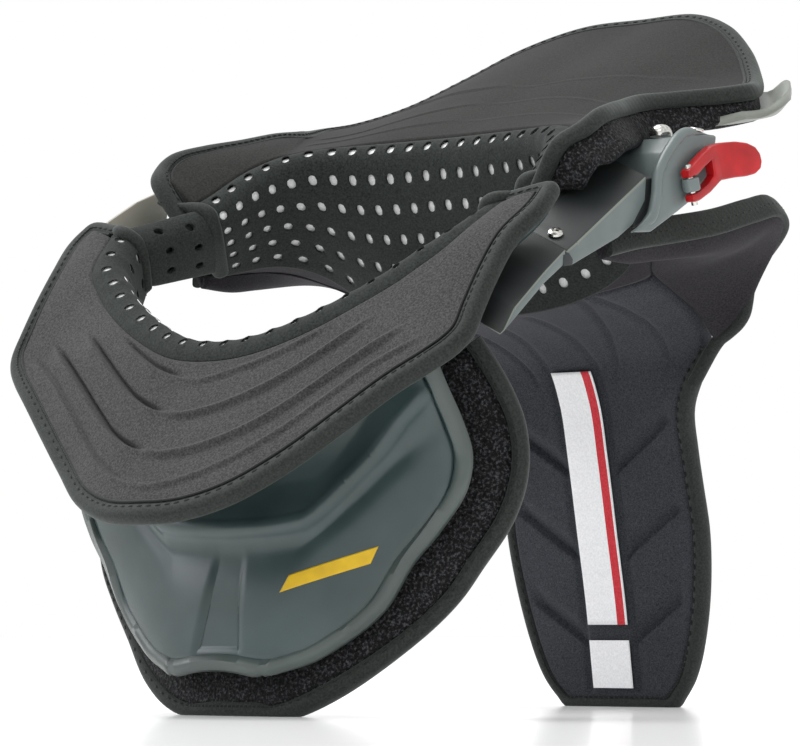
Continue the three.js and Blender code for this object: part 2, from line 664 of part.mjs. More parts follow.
for (const { name, half, from, to } of PATCHES) {
  const grid = steps(from, to, 8).map((u) => steps(-half, half, 1).map((x) => [u, x / backPad(u, 1).x]));
  addPiece(name, sheet(backPad, grid, PATCH_FACING, PLATE_GAP, PLATE_GAP + PATCH), 'patch');
}

function wingSurface(rows) {
  const rails = ['root', 'fold', 'lip', 'top'].map((column) => spline(rows.map((row) => vector(row[column]))));
  return (u, v) => spline(rails.map((rail) => rail.getPoint(THREE.MathUtils.clamp(u, 0, 1)))).getPoint(
    THREE.MathUtils.clamp(v, 0, 1),
  );
}

const wing = wingSurface(WING_ROWS);
const WING_STEPS = 9;
const wingGrid = steps(0, 1, WING_STEPS).map((u) => steps(0, 1, 5).map((v) => [u, v]));
const wingFill = (i) => Math.max(0, Math.sin(Math.PI * (i / WING_STEPS) ** WING_TAPER));
const wingDepth = (i) => -THREE.MathUtils.lerp(WING_TIP, WING_PAD, wingFill(i));
const wingBody = sheet(wing, wingGrid, 1, wingDepth, 0);
addPiece('wing_pad_left', wingBody, 'padding');
addPiece('wing_pad_right', mirrorBody(wingBody), 'padding');

// Sides

const slider = sidePlate(SLIDER, ARM_X, ARM_WIDTH, ARM_RISE);
addPiece('arm_slider_left', slider, 'plastic');
addPiece('hinge_arm', mirrorBody(slider), 'plastic');

// Soft sleeve that bridges the ends of the two linings on the wearer's right
const sleevePlaces = steps(...SLEEVE.rows, 4).map((v) => {
  const from = frontCollar.lining(-FRONT_LINING.end, v);
  const to = rearCollar.lining(-REAR_LINING.end, v);
  return steps(...SLEEVE.across, 4).map((t) => from.clone().lerp(to, t));
});
const sleeveNormals = sleevePlaces.map((row) => row.map(() => new THREE.Vector3(1, 0, 0)));
addPiece('hinge_sleeve', slab(sleevePlaces, sleeveNormals, () => -SLEEVE.thick, () => 0), 'lining');

const toLever = new THREE.Matrix4().makeBasis(
  new THREE.Vector3(0, Math.cos(LEVER_SLOPE), Math.sin(LEVER_SLOPE)),
  new THREE.Vector3(0, -Math.sin(LEVER_SLOPE), Math.cos(LEVER_SLOPE)),
  new THREE.Vector3(1, 0, 0),
).setPosition(LEVER_PIVOT);

function leverPlate(outline, window) {
  const shape = new THREE.Shape(outline.map(([x, y]) => new THREE.Vector2(x, y)));
  if (window) shape.holes.push(new THREE.Path(window.map(([x, y]) => new THREE.Vector2(x, y))));
  const geometry = new THREE.ExtrudeGeometry(shape, { depth: LEVER_THICK, bevelEnabled: false });
  return mergedBody(geometry.translate(0, 0, -LEVER_THICK / 2));
}

function pinBody(radius) {
  const span = FORK_TOP - FORK_BOTTOM + 2 * EAR.height;
  const pin = new THREE.CylinderGeometry(radius, radius, span, 12);
  return mergedBody(pin.translate(0, (FORK_TOP + FORK_BOTTOM) / 2, 0));
}

function splayed(geometry) {
  const p = geometry.getAttribute('position');
  for (let k = 0; k < p.count; k += 1) p.setZ(k, p.getZ(k) + PADDLE_SPLAY * Math.max(0, p.getX(k) - SPLAY_FROM));
  return geometry;
}

const lever = solid(leverPlate(LEVER_PLATE, LEVER_WINDOW))
  .add(solid(splayed(leverPlate(PADDLE))))
  .subtract(solid(pinBody(PIN_RADIUS + GAP)));
addPiece('clasp_lever', turnedOut(geometryOf(lever).applyMatrix4(toLever)), 'lever');
addPiece('lever_pin', turnedOut(pinBody(PIN_RADIUS).applyMatrix4(toLever)), 'steel');

function ear(bottom) {
  const reach = LEVER_PIVOT.x - ARM_X - GAP + 2;
  const block = new THREE.BoxGeometry(EAR.width, EAR.height, reach);
  block.translate(0, bottom + EAR.height / 2, 2 - reach / 2);
  return solid(mergedBody(block)).subtract(solid(pinBody(PIN_RADIUS + GAP)));
}

const ears = [FORK_TOP, FORK_BOTTOM - EAR.height].map((bottom) => turnedOut(geometryOf(ear(bottom)).applyMatrix4(toLever)));
addPiece('clasp_bracket', joined([
  sidePlate(BRACKET, ARM_X + GAP + BRACKET_WALL, BRACKET_WALL, 0),
  sidePlate(BRACKET_WEB, ARM_X + GAP + BRACKET_WALL, BRACKET_WEB_WIDTH, 0),
  ...ears,
]), 'plastic');

function dome(name, { at, radius, height }, normal) {
  const profile = [[0, 0], [radius, 0], [radius * 0.9, height * 0.5], [radius * 0.55, height * 0.9], [0, height]];
  const geometry = new THREE.LatheGeometry(profile.map(([r, y]) => new THREE.Vector2(r, y)), 14);
  const turn = new THREE.Quaternion().setFromUnitVectors(new THREE.Vector3(0, 1, 0), normal);
  const seat = vector(at).addScaledVector(normal, GAP);
  addPiece(name, mergedBody(geometry.applyQuaternion(turn).translate(seat.x, seat.y, seat.z)), 'steel');
}

const sliderTop = new THREE.Vector3(ARM_RISE * 44, -29 * ARM_WIDTH, 44 * ARM_WIDTH).normalize();
dome('clasp_rivet', RIVET, new THREE.Vector3(0, 0, 1));
dome('arm_screw', SCREW, sliderTop);

// The origin is the middle of the underside
const bounds = new THREE.Box3().setFromObject(brace);
const middle = bounds.getCenter(new THREE.Vector3());
brace.position.set(-middle.x, -middle.y, -bounds.min.z);

export default brace;
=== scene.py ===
"""Karting neck brace: covers, bindings, linings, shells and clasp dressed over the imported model.

Sizes are in millimetres in the maker's frame; placed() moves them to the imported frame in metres.
"""
import math

import bmesh
import bpy
from mathutils import Matrix, Vector


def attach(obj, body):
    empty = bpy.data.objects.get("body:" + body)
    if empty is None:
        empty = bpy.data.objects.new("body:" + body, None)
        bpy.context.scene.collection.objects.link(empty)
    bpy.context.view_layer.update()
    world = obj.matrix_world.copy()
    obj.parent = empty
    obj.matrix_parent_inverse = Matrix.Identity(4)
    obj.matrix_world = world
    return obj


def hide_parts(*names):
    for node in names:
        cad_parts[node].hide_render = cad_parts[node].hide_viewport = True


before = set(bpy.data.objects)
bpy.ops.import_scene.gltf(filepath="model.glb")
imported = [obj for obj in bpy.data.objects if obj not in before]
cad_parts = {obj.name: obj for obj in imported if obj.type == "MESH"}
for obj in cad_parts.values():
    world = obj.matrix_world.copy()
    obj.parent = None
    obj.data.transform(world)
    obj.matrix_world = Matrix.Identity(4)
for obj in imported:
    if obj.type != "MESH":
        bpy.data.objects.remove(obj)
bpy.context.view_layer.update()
MM = 0.001
# From the maker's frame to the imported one, whose origin lies on the floor under the middle of the brace
SHIFT = Vector((-7.2093, -7.5034, -0.8))

# Walls, pads and fits, as the solids have them
GAP = 0.4
PLATE = 3
PLATE_GAP = 0.9
LAYER_GAP = 1.5
TABLE_PAD = 8
CHEST_PAD = 9
BACK_PAD = 8
LINING = 2.6
BACKING = 1
TABLE_BINDING = 7.5
BACK_BINDING = 6
SEAM_GAP = 1.1
TAPE_TUCK = 2.5
TABLE_GAP = 2.1
PLATE_DROP = 1.2
NECK_CLEAR = 0.015
LIP_REACH = 10
LIP_RISE = 6
# Section of a lining's roll over the neck edge: reach towards the neck and rise
LINING_ROLL = ((-3.2, 5.4), (0.6, 7.3), (0.65 * LIP_REACH, LIP_RISE), (LIP_REACH, 1))
STATIONS = 28
PATCH_ROWS = 12

FRONT_TABLE = [
    {"neck": (0, -106, 134), "rim": (0, -150, 71), "foot": (0, -95, 118)},
    {"neck": (20, -105, 136), "rim": (30, -144, 74.5), "foot": (18.5, -94, 120)},
    {"neck": (42, -99, 143.5), "rim": (60, -129, 91.5), "foot": (38.5, -88.5, 127)},
    {"neck": (60, -93, 152), "rim": (90, -115, 115), "foot": (55, -83, 134.5)},
    {"neck": (74, -86.5, 160.5), "rim": (109, -104.5, 128.5), "foot": (67, -77, 142)},
    {"neck": (81, -82.5, 166), "rim": (117, -98, 137), "foot": (74, -72, 147.5)},
    {"neck": (88, -78.5, 171), "rim": (118, -89, 152), "foot": (81, -67, 153)},
    {"neck": (94, -70.5, 178), "rim": (119, -74.5, 173), "foot": (87, -60, 160)},
    {"neck": (99, -59, 186.5), "rim": (123.5, -58, 188.5), "foot": (93, -51, 167)},
    {"neck": (102, -51, 193.5), "rim": (120, -49, 196), "foot": (96, -45, 173)},
]
REAR_TABLE = [
    {"neck": (0, 36, 228), "rim": (0, 170, 293), "foot": (0, 46, 161)},
    {"neck": (22, 34.5, 228), "rim": (35, 164.5, 291), "foot": (22, 48, 161)},
    {"neck": (40, 31.3, 227.6), "rim": (62, 150, 279.5), "foot": (40, 50.7, 163)},
    {"neck": (53, 27.8, 227.2), "rim": (85, 130, 262.5), "foot": (54.5, 53.5, 167)},
    {"neck": (62, 23.6, 226.5), "rim": (105, 105, 250), "foot": (65, 54.5, 171.5)},
    {"neck": (68, 19.8, 225.6), "rim": (115, 86, 245.5), "foot": (72, 54, 175.5)},
    {"neck": (72, 16.5, 224.3), "rim": (111, 66, 242.5), "foot": (77, 52.5, 179)},
    {"neck": (75, 13.5, 223.2), "rim": (102, 46, 240.5), "foot": (80.5, 48.5, 182)},
    {"neck": (78.5, 8.5, 220.8), "rim": (101, 28, 236.5), "foot": (85, 41, 185)},
    {"neck": (83, -1, 215.5), "rim": (107, 11, 233), "foot": (90, 26, 186)},
    {"neck": (87.5, -13.5, 207), "rim": (114, -8, 229.5), "foot": (94, 8, 182.5)},
    {"neck": (91.5, -23, 201.5), "rim": (115, -21, 223), "foot": (96, -7, 178.5)},
    {"neck": (97, -31, 199), "rim": (109, -32, 216), "foot": (99, -20, 174)},
]
CHEST_PLATE_ROWS = [
    {"mid": (0, -107, 20), "edge": (24, -105, 15)},
    {"mid": (0, -105.5, 28), "edge": (47, -95, 28)},
    {"mid": (0, -103, 42), "edge": (65, -88, 42)},
    {"mid": (0, -99.5, 60), "edge": (77.5, -85, 60)},
    {"mid": (0, -98, 72), "edge": (88, -82, 72)},
    {"mid": (0, -97.5, 86), "edge": (97, -78.5, 86)},
    {"mid": (0, -98.5, 98), "edge": (98, -77, 98)},
    {"mid": (0, -102, 108), "edge": (96, -80, 110)},
    {"mid": (0, -107, 115), "edge": (93, -86, 124)},
    {"mid": (0, -114, 119), "edge": (91, -94, 140)},
]
CHEST_PAD_ROWS = [
    {"mid": (0, -101, 0), "edge": (22, -100.5, 0)},
    {"mid": (0, -101.5, 4), "edge": (35.5, -99, 3.2)},
    {"mid": (0, -100.5, 12.5), "edge": (53.5, -92, 12.5)},
    {"mid": (0, -98, 29), "edge": (75, -79, 29)},
    {"mid": (0, -95.7, 43), "edge": (89, -72.5, 43)},
    {"mid": (0, -95, 56), "edge": (98, -69.5, 56)},
    {"mid": (0, -93.5, 73), "edge": (107, -63, 73)},
    {"mid": (0, -93, 87), "edge": (110.5, -59, 87)},
    {"mid": (0, -93, 98), "edge": (111, -57.5, 99)},
    {"mid": (0, -93.5, 105), "edge": (110, -59, 111)},
    {"mid": (0, -94.5, 109), "edge": (108, -63, 121)},
    {"mid": (0, -96, 112), "edge": (105, -68, 131)},
]
BACK_PAD_ROWS = [
    {"mid": (0, 144, 0), "edge": (28.5, 144, 0)},
    {"mid": (0, 142.5, 8), "edge": (36.5, 143.5, 8)},
    {"mid": (0, 141, 18), "edge": (42, 142, 18)},
    {"mid": (0, 137, 45), "edge": (49.5, 138.5, 45)},
    {"mid": (0, 131, 75), "edge": (53, 134, 75)},
    {"mid": (0, 125, 105), "edge": (52, 128, 105)},
    {"mid": (0, 119, 130), "edge": (57, 117.5, 129)},
    {"mid": (0, 109, 147), "edge": (73, 114, 150)},
    {"mid": (0, 88, 157), "edge": (77, 95, 164)},
    {"mid": (0, 66, 161), "edge": (79, 76, 172)},
    {"mid": (0, 48.5, 162), "edge": (79, 68, 177)},
]
BACK_BOUND = 0.68
BACK_BEYOND = (0.76, 0.84, 0.92, 1)
WING_ROWS = [
    {"root": (103, -4, 180), "fold": (104, -4, 177), "lip": (106.5, -4, 181), "top": (106, -4, 185)},
    {"root": (100, 14, 183), "fold": (104, 13, 176.5), "lip": (108, 13, 182), "top": (107, 13, 189)},
    {"root": (97, 28, 185), "fold": (105, 29, 178.5), "lip": (109.5, 29, 185), "top": (109, 29, 192)},
    {"root": (92, 46, 184), "fold": (109, 55, 182.5), "lip": (114, 56, 189), "top": (112.5, 56, 197)},
    {"root": (80.4, 61, 177.6), "fold": (110, 78, 187), "lip": (116, 80, 195), "top": (113, 80, 203)},
    {"root": (77.35, 78, 171.4), "fold": (108, 95, 190), "lip": (115, 98, 199), "top": (111, 97, 206)},
    {"root": (75.85, 97, 163.4), "fold": (98, 106, 181), "lip": (109, 110, 196), "top": (107, 109, 202)},
    {"root": (74.15, 114, 151.4), "fold": (87, 114, 161), "lip": (91, 113, 173), "top": (94, 112.5, 182)},
]


# Colours and finishes

def linear(hex_colour):
    channels = [int(hex_colour[k:k + 2], 16) / 255 for k in (1, 3, 5)]
    return tuple(c / 12.92 if c <= 0.04045 else ((c + 0.055) / 1.055) ** 2.4 for c in channels) + (1.0,)


def add_node(tree, kind, inputs=None, stops=(), **settings):
    """A shader node with its settings; a socket given for an input is linked, and stops colour a ramp."""
    made = tree.nodes.new(kind)
    for key, value in settings.items():
        setattr(made, key, value)
    for key, value in (inputs or {}).items():
        if isinstance(value, bpy.types.NodeSocket):
            tree.links.new(value, made.inputs[key])
        else:
            made.inputs[key].default_value = value
    for k, (place, colour) in enumerate(stops):
        made.color_ramp.elements[k].position = place
        made.color_ramp.elements[k].color = linear(colour)
    return made


def start_material(name):
    finish = bpy.data.materials.new(name)
    finish.use_nodes = True
    tree = finish.node_tree
    tree.nodes.clear()
    place = add_node(tree, "ShaderNodeTexCoord").outputs["Object"]
    return finish, tree, place


def per_metre(size_mm):
    """Texture scale whose features are about size_mm across."""
    return 1 / (size_mm * MM)


def knit_fabric(name, dark, light, sheen, grain_mm=0.75, relief=0.00012):
    """Knitted polyester over foam: a heathered mix of dark and pale yarn, matt with a soft sheen.

    The yarn is drawn coarser than it is, so that it shows.
    """
    finish, tree, place = start_material(name)
    yarn = add_node(tree, "ShaderNodeTexNoise", {
        "Vector": place, "Scale": per_metre(grain_mm), "Detail": 3.0}).outputs["Fac"]
    patch = add_node(tree, "ShaderNodeTexNoise", {
        "Vector": place, "Scale": per_metre(60), "Detail": 2.0}).outputs["Fac"]
    mixed = add_node(tree, "ShaderNodeMath", {0: patch, 1: 0.25, 2: yarn}, operation="MULTIPLY_ADD")
    colour = add_node(tree, "ShaderNodeValToRGB", {"Fac": mixed.outputs[0]}, ((0.38, dark), (0.90, light)))
    bump = add_node(tree, "ShaderNodeBump", {"Height": yarn, "Strength": 0.6, "Distance": relief})
    shader = add_node(tree, "ShaderNodeBsdfPrincipled", {
        "Base Color": colour.outputs["Color"], "Roughness": 0.92, "Normal": bump.outputs["Normal"],
        "Specular IOR Level": 0.25, "Sheen Weight": sheen, "Sheen Roughness": 0.45,
        "Sheen Tint": linear("#cfc9cf"),
    })
    add_node(tree, "ShaderNodeOutputMaterial", {"Surface": shader.outputs["BSDF"]})
    return finish


def woven_tape(name, dark, light):
    """Woven polyester, as edge tape, thread and sewn patches: fine slanting ribs, smoother than the knit.

    A wave's bands lie 0.36 of its scale length apart: the ribs are about 1.9 mm apart, enough to show.
    """
    finish, tree, place = start_material(name)
    ribs = add_node(tree, "ShaderNodeTexWave", {
        "Vector": place, "Scale": per_metre(5.2), "Distortion": 1.5, "Detail": 2.0,
    }, bands_direction="DIAGONAL")
    fleck = add_node(tree, "ShaderNodeTexNoise", {
        "Vector": place, "Scale": per_metre(0.8), "Detail": 2.0}).outputs["Fac"]
    colour = add_node(tree, "ShaderNodeValToRGB", {"Fac": fleck}, ((0.3, dark), (0.72, light)))
    bump = add_node(tree, "ShaderNodeBump", {
        "Height": ribs.outputs["Fac"], "Strength": 0.35, "Distance": 0.0001})
    fine = add_node(tree, "ShaderNodeBump", {
        "Height": fleck, "Strength": 0.5, "Distance": 0.0001, "Normal": bump.outputs["Normal"]})
    shader = add_node(tree, "ShaderNodeBsdfPrincipled", {
        "Base Color": colour.outputs["Color"], "Roughness": 0.74, "Normal": fine.outputs["Normal"],
        "Specular IOR Level": 0.35, "Sheen Weight": 0.22, "Sheen Roughness": 0.4,
        "Sheen Tint": linear("#c8d2cc"),
    })
    add_node(tree, "ShaderNodeOutputMaterial", {"Surface": shader.outputs["BSDF"]})
    return finish


def loop_fabric(name):
    """Black hook-and-loop loop fabric: a pile of shiny nylon loops, whose glints are painted as pale flecks
    in its colour over deep black.
    """
    finish, tree, place = start_material(name)
    loops = add_node(tree, "ShaderNodeTexVoronoi", {
        "Vector": place, "Scale": per_metre(1.7), "Randomness": 1.0})
    fleck = add_node(tree, "ShaderNodeTexNoise", {
        "Vector": place, "Scale": per_metre(1.1), "Detail": 4.0, "Roughness": 0.7}).outputs["Fac"]
    # Pale flecks in the colour: painted glints of the loops
    colour = add_node(tree, "ShaderNodeValToRGB", {"Fac": fleck}, ((0.5, "#020203"), (0.78, "#5c5d62")))
    bump = add_node(tree, "ShaderNodeBump", {
        "Height": loops.outputs["Distance"], "Strength": 1.0, "Distance": 0.0007})
    fine = add_node(tree, "ShaderNodeBump", {
        "Height": fleck, "Strength": 1.0, "Distance": 0.0005, "Normal": bump.outputs["Normal"]})
    shader = add_node(tree, "ShaderNodeBsdfPrincipled", {
        "Base Color": colour.outputs["Color"], "Roughness": 0.66, "Normal": fine.outputs["Normal"],
        "Specular IOR Level": 0.2})
    add_node(tree, "ShaderNodeOutputMaterial", {"Surface": shader.outputs["BSDF"]})
    return finish


def moulded_plastic(name, dark, light, roughness):
    """Injection-moulded nylon: satin, slightly cloudy, with a spark-eroded grain coarse enough to show."""
    finish, tree, place = start_material(name)
    cloud = add_node(tree, "ShaderNodeTexNoise", {
        "Vector": place, "Scale": per_metre(38), "Detail": 3.0}).outputs["Fac"]
    grain = add_node(tree, "ShaderNodeTexNoise", {
        "Vector": place, "Scale": per_metre(0.6), "Detail": 2.0}).outputs["Fac"]
    colour = add_node(tree, "ShaderNodeValToRGB", {"Fac": cloud}, ((0.3, dark), (0.7, light)))
    rough = add_node(tree, "ShaderNodeMapRange", {
        "Value": grain, "To Min": roughness - 0.05, "To Max": roughness + 0.08})
    bump = add_node(tree, "ShaderNodeBump", {"Height": grain, "Strength": 0.35, "Distance": 0.00005})
    shader = add_node(tree, "ShaderNodeBsdfPrincipled", {
        "Base Color": colour.outputs["Color"], "Roughness": rough.outputs["Result"],
        "Normal": bump.outputs["Normal"], "IOR": 1.53})
    add_node(tree, "ShaderNodeOutputMaterial", {"Surface": shader.outputs["BSDF"]})
    return finish


def gloss_plastic(name, dark, light):
    """Glossy acetal or ink: saturated colour with a clear highlight and a faint haze."""
    finish, tree, place = start_material(name)
    haze = add_node(tree, "ShaderNodeTexNoise", {
        "Vector": place, "Scale": per_metre(9), "Detail": 2.0}).outputs["Fac"]
    colour = add_node(tree, "ShaderNodeValToRGB", {"Fac": haze}, ((0.3, dark), (0.7, light)))
    rough = add_node(tree, "ShaderNodeMapRange", {"Value": haze, "To Min": 0.26, "To Max": 0.36})
    shader = add_node(tree, "ShaderNodeBsdfPrincipled", {
        "Base Color": colour.outputs["Color"], "Roughness": rough.outputs["Result"], "IOR": 1.48})
    add_node(tree, "ShaderNodeOutputMaterial", {"Surface": shader.outputs["BSDF"]})
    return finish


def bright_steel(name):
    """Polished stainless steel: bright, with a faintly uneven polish."""
    finish, tree, place = start_material(name)
    marks = add_node(tree, "ShaderNodeTexNoise", {
        "Vector": place, "Scale": per_metre(0.9), "Detail": 2.0}).outputs["Fac"]
    colour = add_node(tree, "ShaderNodeValToRGB", {"Fac": marks}, ((0.3, "#b4b3ae"), (0.7, "#dcdbd6")))
    rough = add_node(tree, "ShaderNodeMapRange", {"Value": marks, "To Min": 0.16, "To Max": 0.3})
    shader = add_node(tree, "ShaderNodeBsdfPrincipled", {
        "Base Color": colour.outputs["Color"], "Metallic": 1.0, "Roughness": rough.outputs["Result"]})
    add_node(tree, "ShaderNodeOutputMaterial", {"Surface": shader.outputs["BSDF"]})
    return finish


TABLE_KNIT = knit_fabric("table_heather_knit", "#1d1d1e", "#504f4f", sheen=0.12)
# Same knit as the front cover, given darker colours as painted shade on the rear table
REAR_KNIT_PAINTED_SHADE = knit_fabric("rear_table_knit_painted_shade", "#101010", "#31312f", sheen=0.07)
WING_KNIT = knit_fabric("shoulder_charcoal_knit", "#151416", "#343135", sheen=0.08, grain_mm=0.7)
BACK_KNIT = knit_fabric(
    "moulded_back_fabric", "#1b1d20", "#46494f", sheen=0.12, grain_mm=0.6, relief=0.0001)
LINING_KNIT = knit_fabric("perforated_lining_knit", "#141716", "#343937", sheen=0.08, grain_mm=0.8)
BACKING_FELT = knit_fabric("pale_backing_felt", "#e3e5e4", "#ffffff", sheen=0.0, grain_mm=0.8)
EDGE_TAPE = woven_tape("edge_binding_tape", "#0d100f", "#2a2f2b")
BACK_TAPE = woven_tape("back_binding_tape", "#151717", "#2f3332")
THREAD = woven_tape("stitch_thread", "#070808", "#161917")
LOOP_PILE = loop_fabric("chest_loop_pile")
SHELL_NYLON = moulded_plastic("shell_grey_nylon", "#2a3838", "#3d4c4c", roughness=0.33)
# Lighter copy of the shell nylon for the chest plate's rim: painted highlight along its rounded edge
RIM_PAINTED_HIGHLIGHT = moulded_plastic("shell_rim_painted_highlight", "#3a4341", "#4c5653", roughness=0.3)
ARM_NYLON = moulded_plastic("arm_grey_nylon", "#586161", "#6f7a79", roughness=0.32)
# Dark nylon; also the painted shade on the upper faces of the arms and slider, and in the shaded gap and
# notch at the clasp
DARK_NYLON_AND_PAINTED_SHADE = moulded_plastic("dark_nylon_and_painted_shade", "#181c1d", "#252a2b", roughness=0.5)
# Pale nylon of the corner tips; also the painted highlight on the upward rounded edges of the arms and
# slider
PALE_NYLON_AND_EDGE_HIGHLIGHT = moulded_plastic("pale_nylon_and_painted_edge_highlight", "#6b7069", "#858a80", roughness=0.34)
HINGE_NYLON = moulded_plastic("hinge_warm_grey_nylon", "#a5a195", "#bab6aa", roughness=0.42)
LEVER_RED = gloss_plastic("lever_red_acetal", "#9c040c", "#b80a12")
STEEL = bright_steel("polished_steel")
PATCH_WHITE = woven_tape("patch_white_satin", "#eeeef1", "#ffffff")
PATCH_RED = woven_tape("patch_red_stripe", "#c02430", "#d83a44")
YELLOW_INK = gloss_plastic("accent_yellow_ink", "#c39c06", "#d9b310")


# Curves and surfaces in millimetres

def rail(points):
    """Smooth curve through points, read from 0 to 1."""
    stops = [Vector(p) for p in points]
    last = len(stops) - 1

    def at(t):
        x = min(max(t, 0.0), 1.0) * last
        k = min(int(x), last - 1)
        w = x - k
        p1, p2 = stops[k], stops[k + 1]
        p0 = stops[k - 1] if k else 2 * p1 - p2
        p3 = stops[k + 2] if k + 2 <= last else 2 * p2 - p1
        d0, d1, d2 = (max((b - a).length, 1e-4) ** 0.5 for a, b in ((p0, p1), (p1, p2), (p2, p3)))
        m1 = ((p1 - p0) / d0 - (p2 - p0) / (d0 + d1) + (p2 - p1) / d1) * d1
        m2 = ((p2 - p1) / d1 - (p3 - p1) / (d1 + d2) + (p3 - p2) / d2) * d1
        return p1 + m1 * w + (3 * (p2 - p1) - 2 * m1 - m2) * w ** 2 + (2 * (p1 - p2) + m1 + m2) * w ** 3
    return at


def steps(start, end, count):
    return [start + (end - start) * k / count for k in range(count + 1)]


def smooth(low, high, x):
    t = min(max((x - low) / (high - low), 0.0), 1.0)
    return t * t * (3 - 2 * t)


def both_sides(rows, column):
    half = [Vector(row[column]) for row in rows]
    other = [Vector((-p.x, p.y, p.z)) for p in half[:0:-1]]
    return rail(other + half)


def surface_normal(surface, u, v, facing):
    step = 1e-3
    along = surface(min(u + step, 1), v) - surface(max(u - step, -1), v)
    across = surface(u, v + step) - surface(u, v - step)
    return along.cross(across).normalized() * facing


def inward_along(path, normals, inwards):
    """Directions into a pad along its outline, lengthened at the corners so that offsets stay parallel."""
    def side(i, k):
        return ((path[k] - path[k - 1]).normalized().cross(normals[i]) * -inwards).normalized()
    found = []
    for i in range(len(path)):
        before = side(i, max(i, 1))
        after = side(i, min(i + 1, len(path) - 1))
        middle = (before + after).normalized()
        found.append(middle / max(middle.dot(before), 0.6))
    return found


def path_distance(path, point):
    least = 1e9
    for a, b in zip(path, path[1:]):
        t = max(0.0, min(1.0, (point - a).dot(b - a) / max((b - a).length_squared, 1e-9)))
        least = min(least, (a.lerp(b, t) - point).length)
    return least


def clear_up_to(point_at, path, margin):
    low, high = 0.0, 1.0
    for _ in range(24):
        middle = (low + high) / 2
        if path_distance(path, point_at(middle)) > margin:
            low = middle
        else:
            high = middle
    return low


class Table:
    """A padded table: its surface, the outline its binding follows and the ribbon its cover fills."""

    def __init__(self, rows, facing):
        neck, rim = both_sides(rows, "neck"), both_sides(rows, "rim")
        self.rows, self.facing = rows, facing
        self.surface = lambda u, v: neck((u + 1) / 2).lerp(rim((u + 1) / 2), v)
        stations = steps(-1, 1, STATIONS)
        path = [self.surface(-1, 0)] + [self.surface(u, 1) for u in stations] + [self.surface(1, 0)]
        normals = [surface_normal(self.surface, u, 0.5, facing) for u in [-1] + stations + [1]]
        inward = inward_along(path, normals, -facing)
        inset = TABLE_BINDING + SEAM_GAP
        reach = clear_up_to(lambda u: self.surface(u, 0), path, inset + SEAM_GAP)
        self.path, self.normal, self.inward = rail(path), rail(normals), rail(inward)
        self.inner = rail([self.surface(u * reach, NECK_CLEAR) for u in stations])
        self.inner_normal = rail([surface_normal(self.surface, u * reach, 0.001, facing) for u in stations])
        tuck = TABLE_BINDING - TAPE_TUCK
        self.outer = rail([p + w * tuck for p, w in list(zip(path, inward))[1:-1]])
        self.outer_normal = rail(normals[1:-1])

    def across(self, s, a, height):
        """Point of the cover at s along, a across from the neck, raised by height."""
        up = self.inner_normal(s).lerp(self.outer_normal(s), a).normalized()
        return self.inner(s).lerp(self.outer(s), a) + up * height


class Lining:
    """Roll of lining over a table's neck edge and down to its foot; v is a share of its length."""

    def __init__(self, table):
        self.table, self.foot, self.columns = table, both_sides(table.rows, "foot"), {}

    def column(self, u):
        key = round(u, 6)
        if key not in self.columns:
            neck = self.table.surface(u, 0)
            inward = (neck - self.table.surface(u, 1)).normalized()
            up = surface_normal(self.table.surface, u, 0.001, self.table.facing)
            roll = [neck + inward * reach + up * rise for reach, rise in LINING_ROLL]
            section = rail(roll + [self.foot((u + 1) / 2)])
            stops = [section(t) for t in steps(0, 1, 36)]
            lengths = [0.0]
            for a, b in zip(stops, stops[1:]):
                lengths.append(lengths[-1] + (b - a).length)
            self.columns[key] = (stops, lengths)
        return self.columns[key]

    def surface(self, u, v):
        stops, lengths = self.column(u)
        want = min(max(v, 0.0), 1.0) * lengths[-1]
        k = 0
        while k < len(stops) - 2 and lengths[k + 1] < want:
            k += 1
        return stops[k].lerp(stops[k + 1], (want - lengths[k]) / max(lengths[k + 1] - lengths[k], 1e-9))

    def behind(self, u, v, depth):
        to_neck = surface_normal(self.surface, u, min(max(v, 0.01), 0.99), -self.table.facing)
        return self.surface(u, v) + to_neck * depth


def patch_surface(rows):
    middle, edge = rail([row["mid"] for row in rows]), rail([row["edge"] for row in rows])

    def at(u, v):
        a, b = middle(u), edge(u)
        return Vector((v * b.x, a.y + (b.y - a.y) * abs(v) ** 2.4, a.z + (b.z - a.z) * v * v))
    return at


class Patch:
    """A pad on rows from the floor up: the outline its binding follows and the surface inside it."""

    def __init__(self, rows, top_row, inset, beyond=()):
        self.surface = patch_surface(rows)
        ups = steps(0, top_row, PATCH_ROWS)
        foot = [(0, v) for v in steps(-1, 1, 6)[1:-1]]
        params = [(u, -1) for u in reversed(ups)] + foot + [(u, 1) for u in ups]
        path = [self.surface(u, v) for u, v in params]
        normals = [self.up(max(u, 0.002), v * 0.99) for u, v in params]
        inward = inward_along(path, normals, 1)
        edge = [p + w * inset for p, w in zip(path, inward)][-PATCH_ROWS - 1:]
        lowest = 1 - clear_up_to(lambda t: self.surface(1 - t, 0), path, inset)
        rows_in = [{"mid": self.surface(lowest + (top_row - lowest) * k / PATCH_ROWS, 0), "edge": place}
                   for k, place in enumerate(edge)]
        rows_in += [{"mid": self.surface(u, 0), "edge": self.surface(u, 0.97)} for u in beyond]
        self.inside = patch_surface(rows_in)
        self.us = ups + list(beyond)
        self.path, self.normal, self.inward = rail(path), rail(normals), rail(inward)

    def up(self, u, v):
        return surface_normal(self.surface, u, v, -1)

    def at(self, t, v, height):
        """Point inside the binding, t up the rows and v across, raised by height."""
        x = t * (len(self.us) - 1)
        k = min(int(x), len(self.us) - 2)
        u = self.us[k] + (self.us[k + 1] - self.us[k]) * (x - k)
        return self.inside(t, v) + self.up(max(u, 0.002), v * 0.99) * height


# Making pieces

UNDER_ROWS = 6
LENGTH_STEPS = 120
THREAD_HALF, THREAD_RISE = 0.55, 0.45


def placed(point):
    return (point + SHIFT) * MM


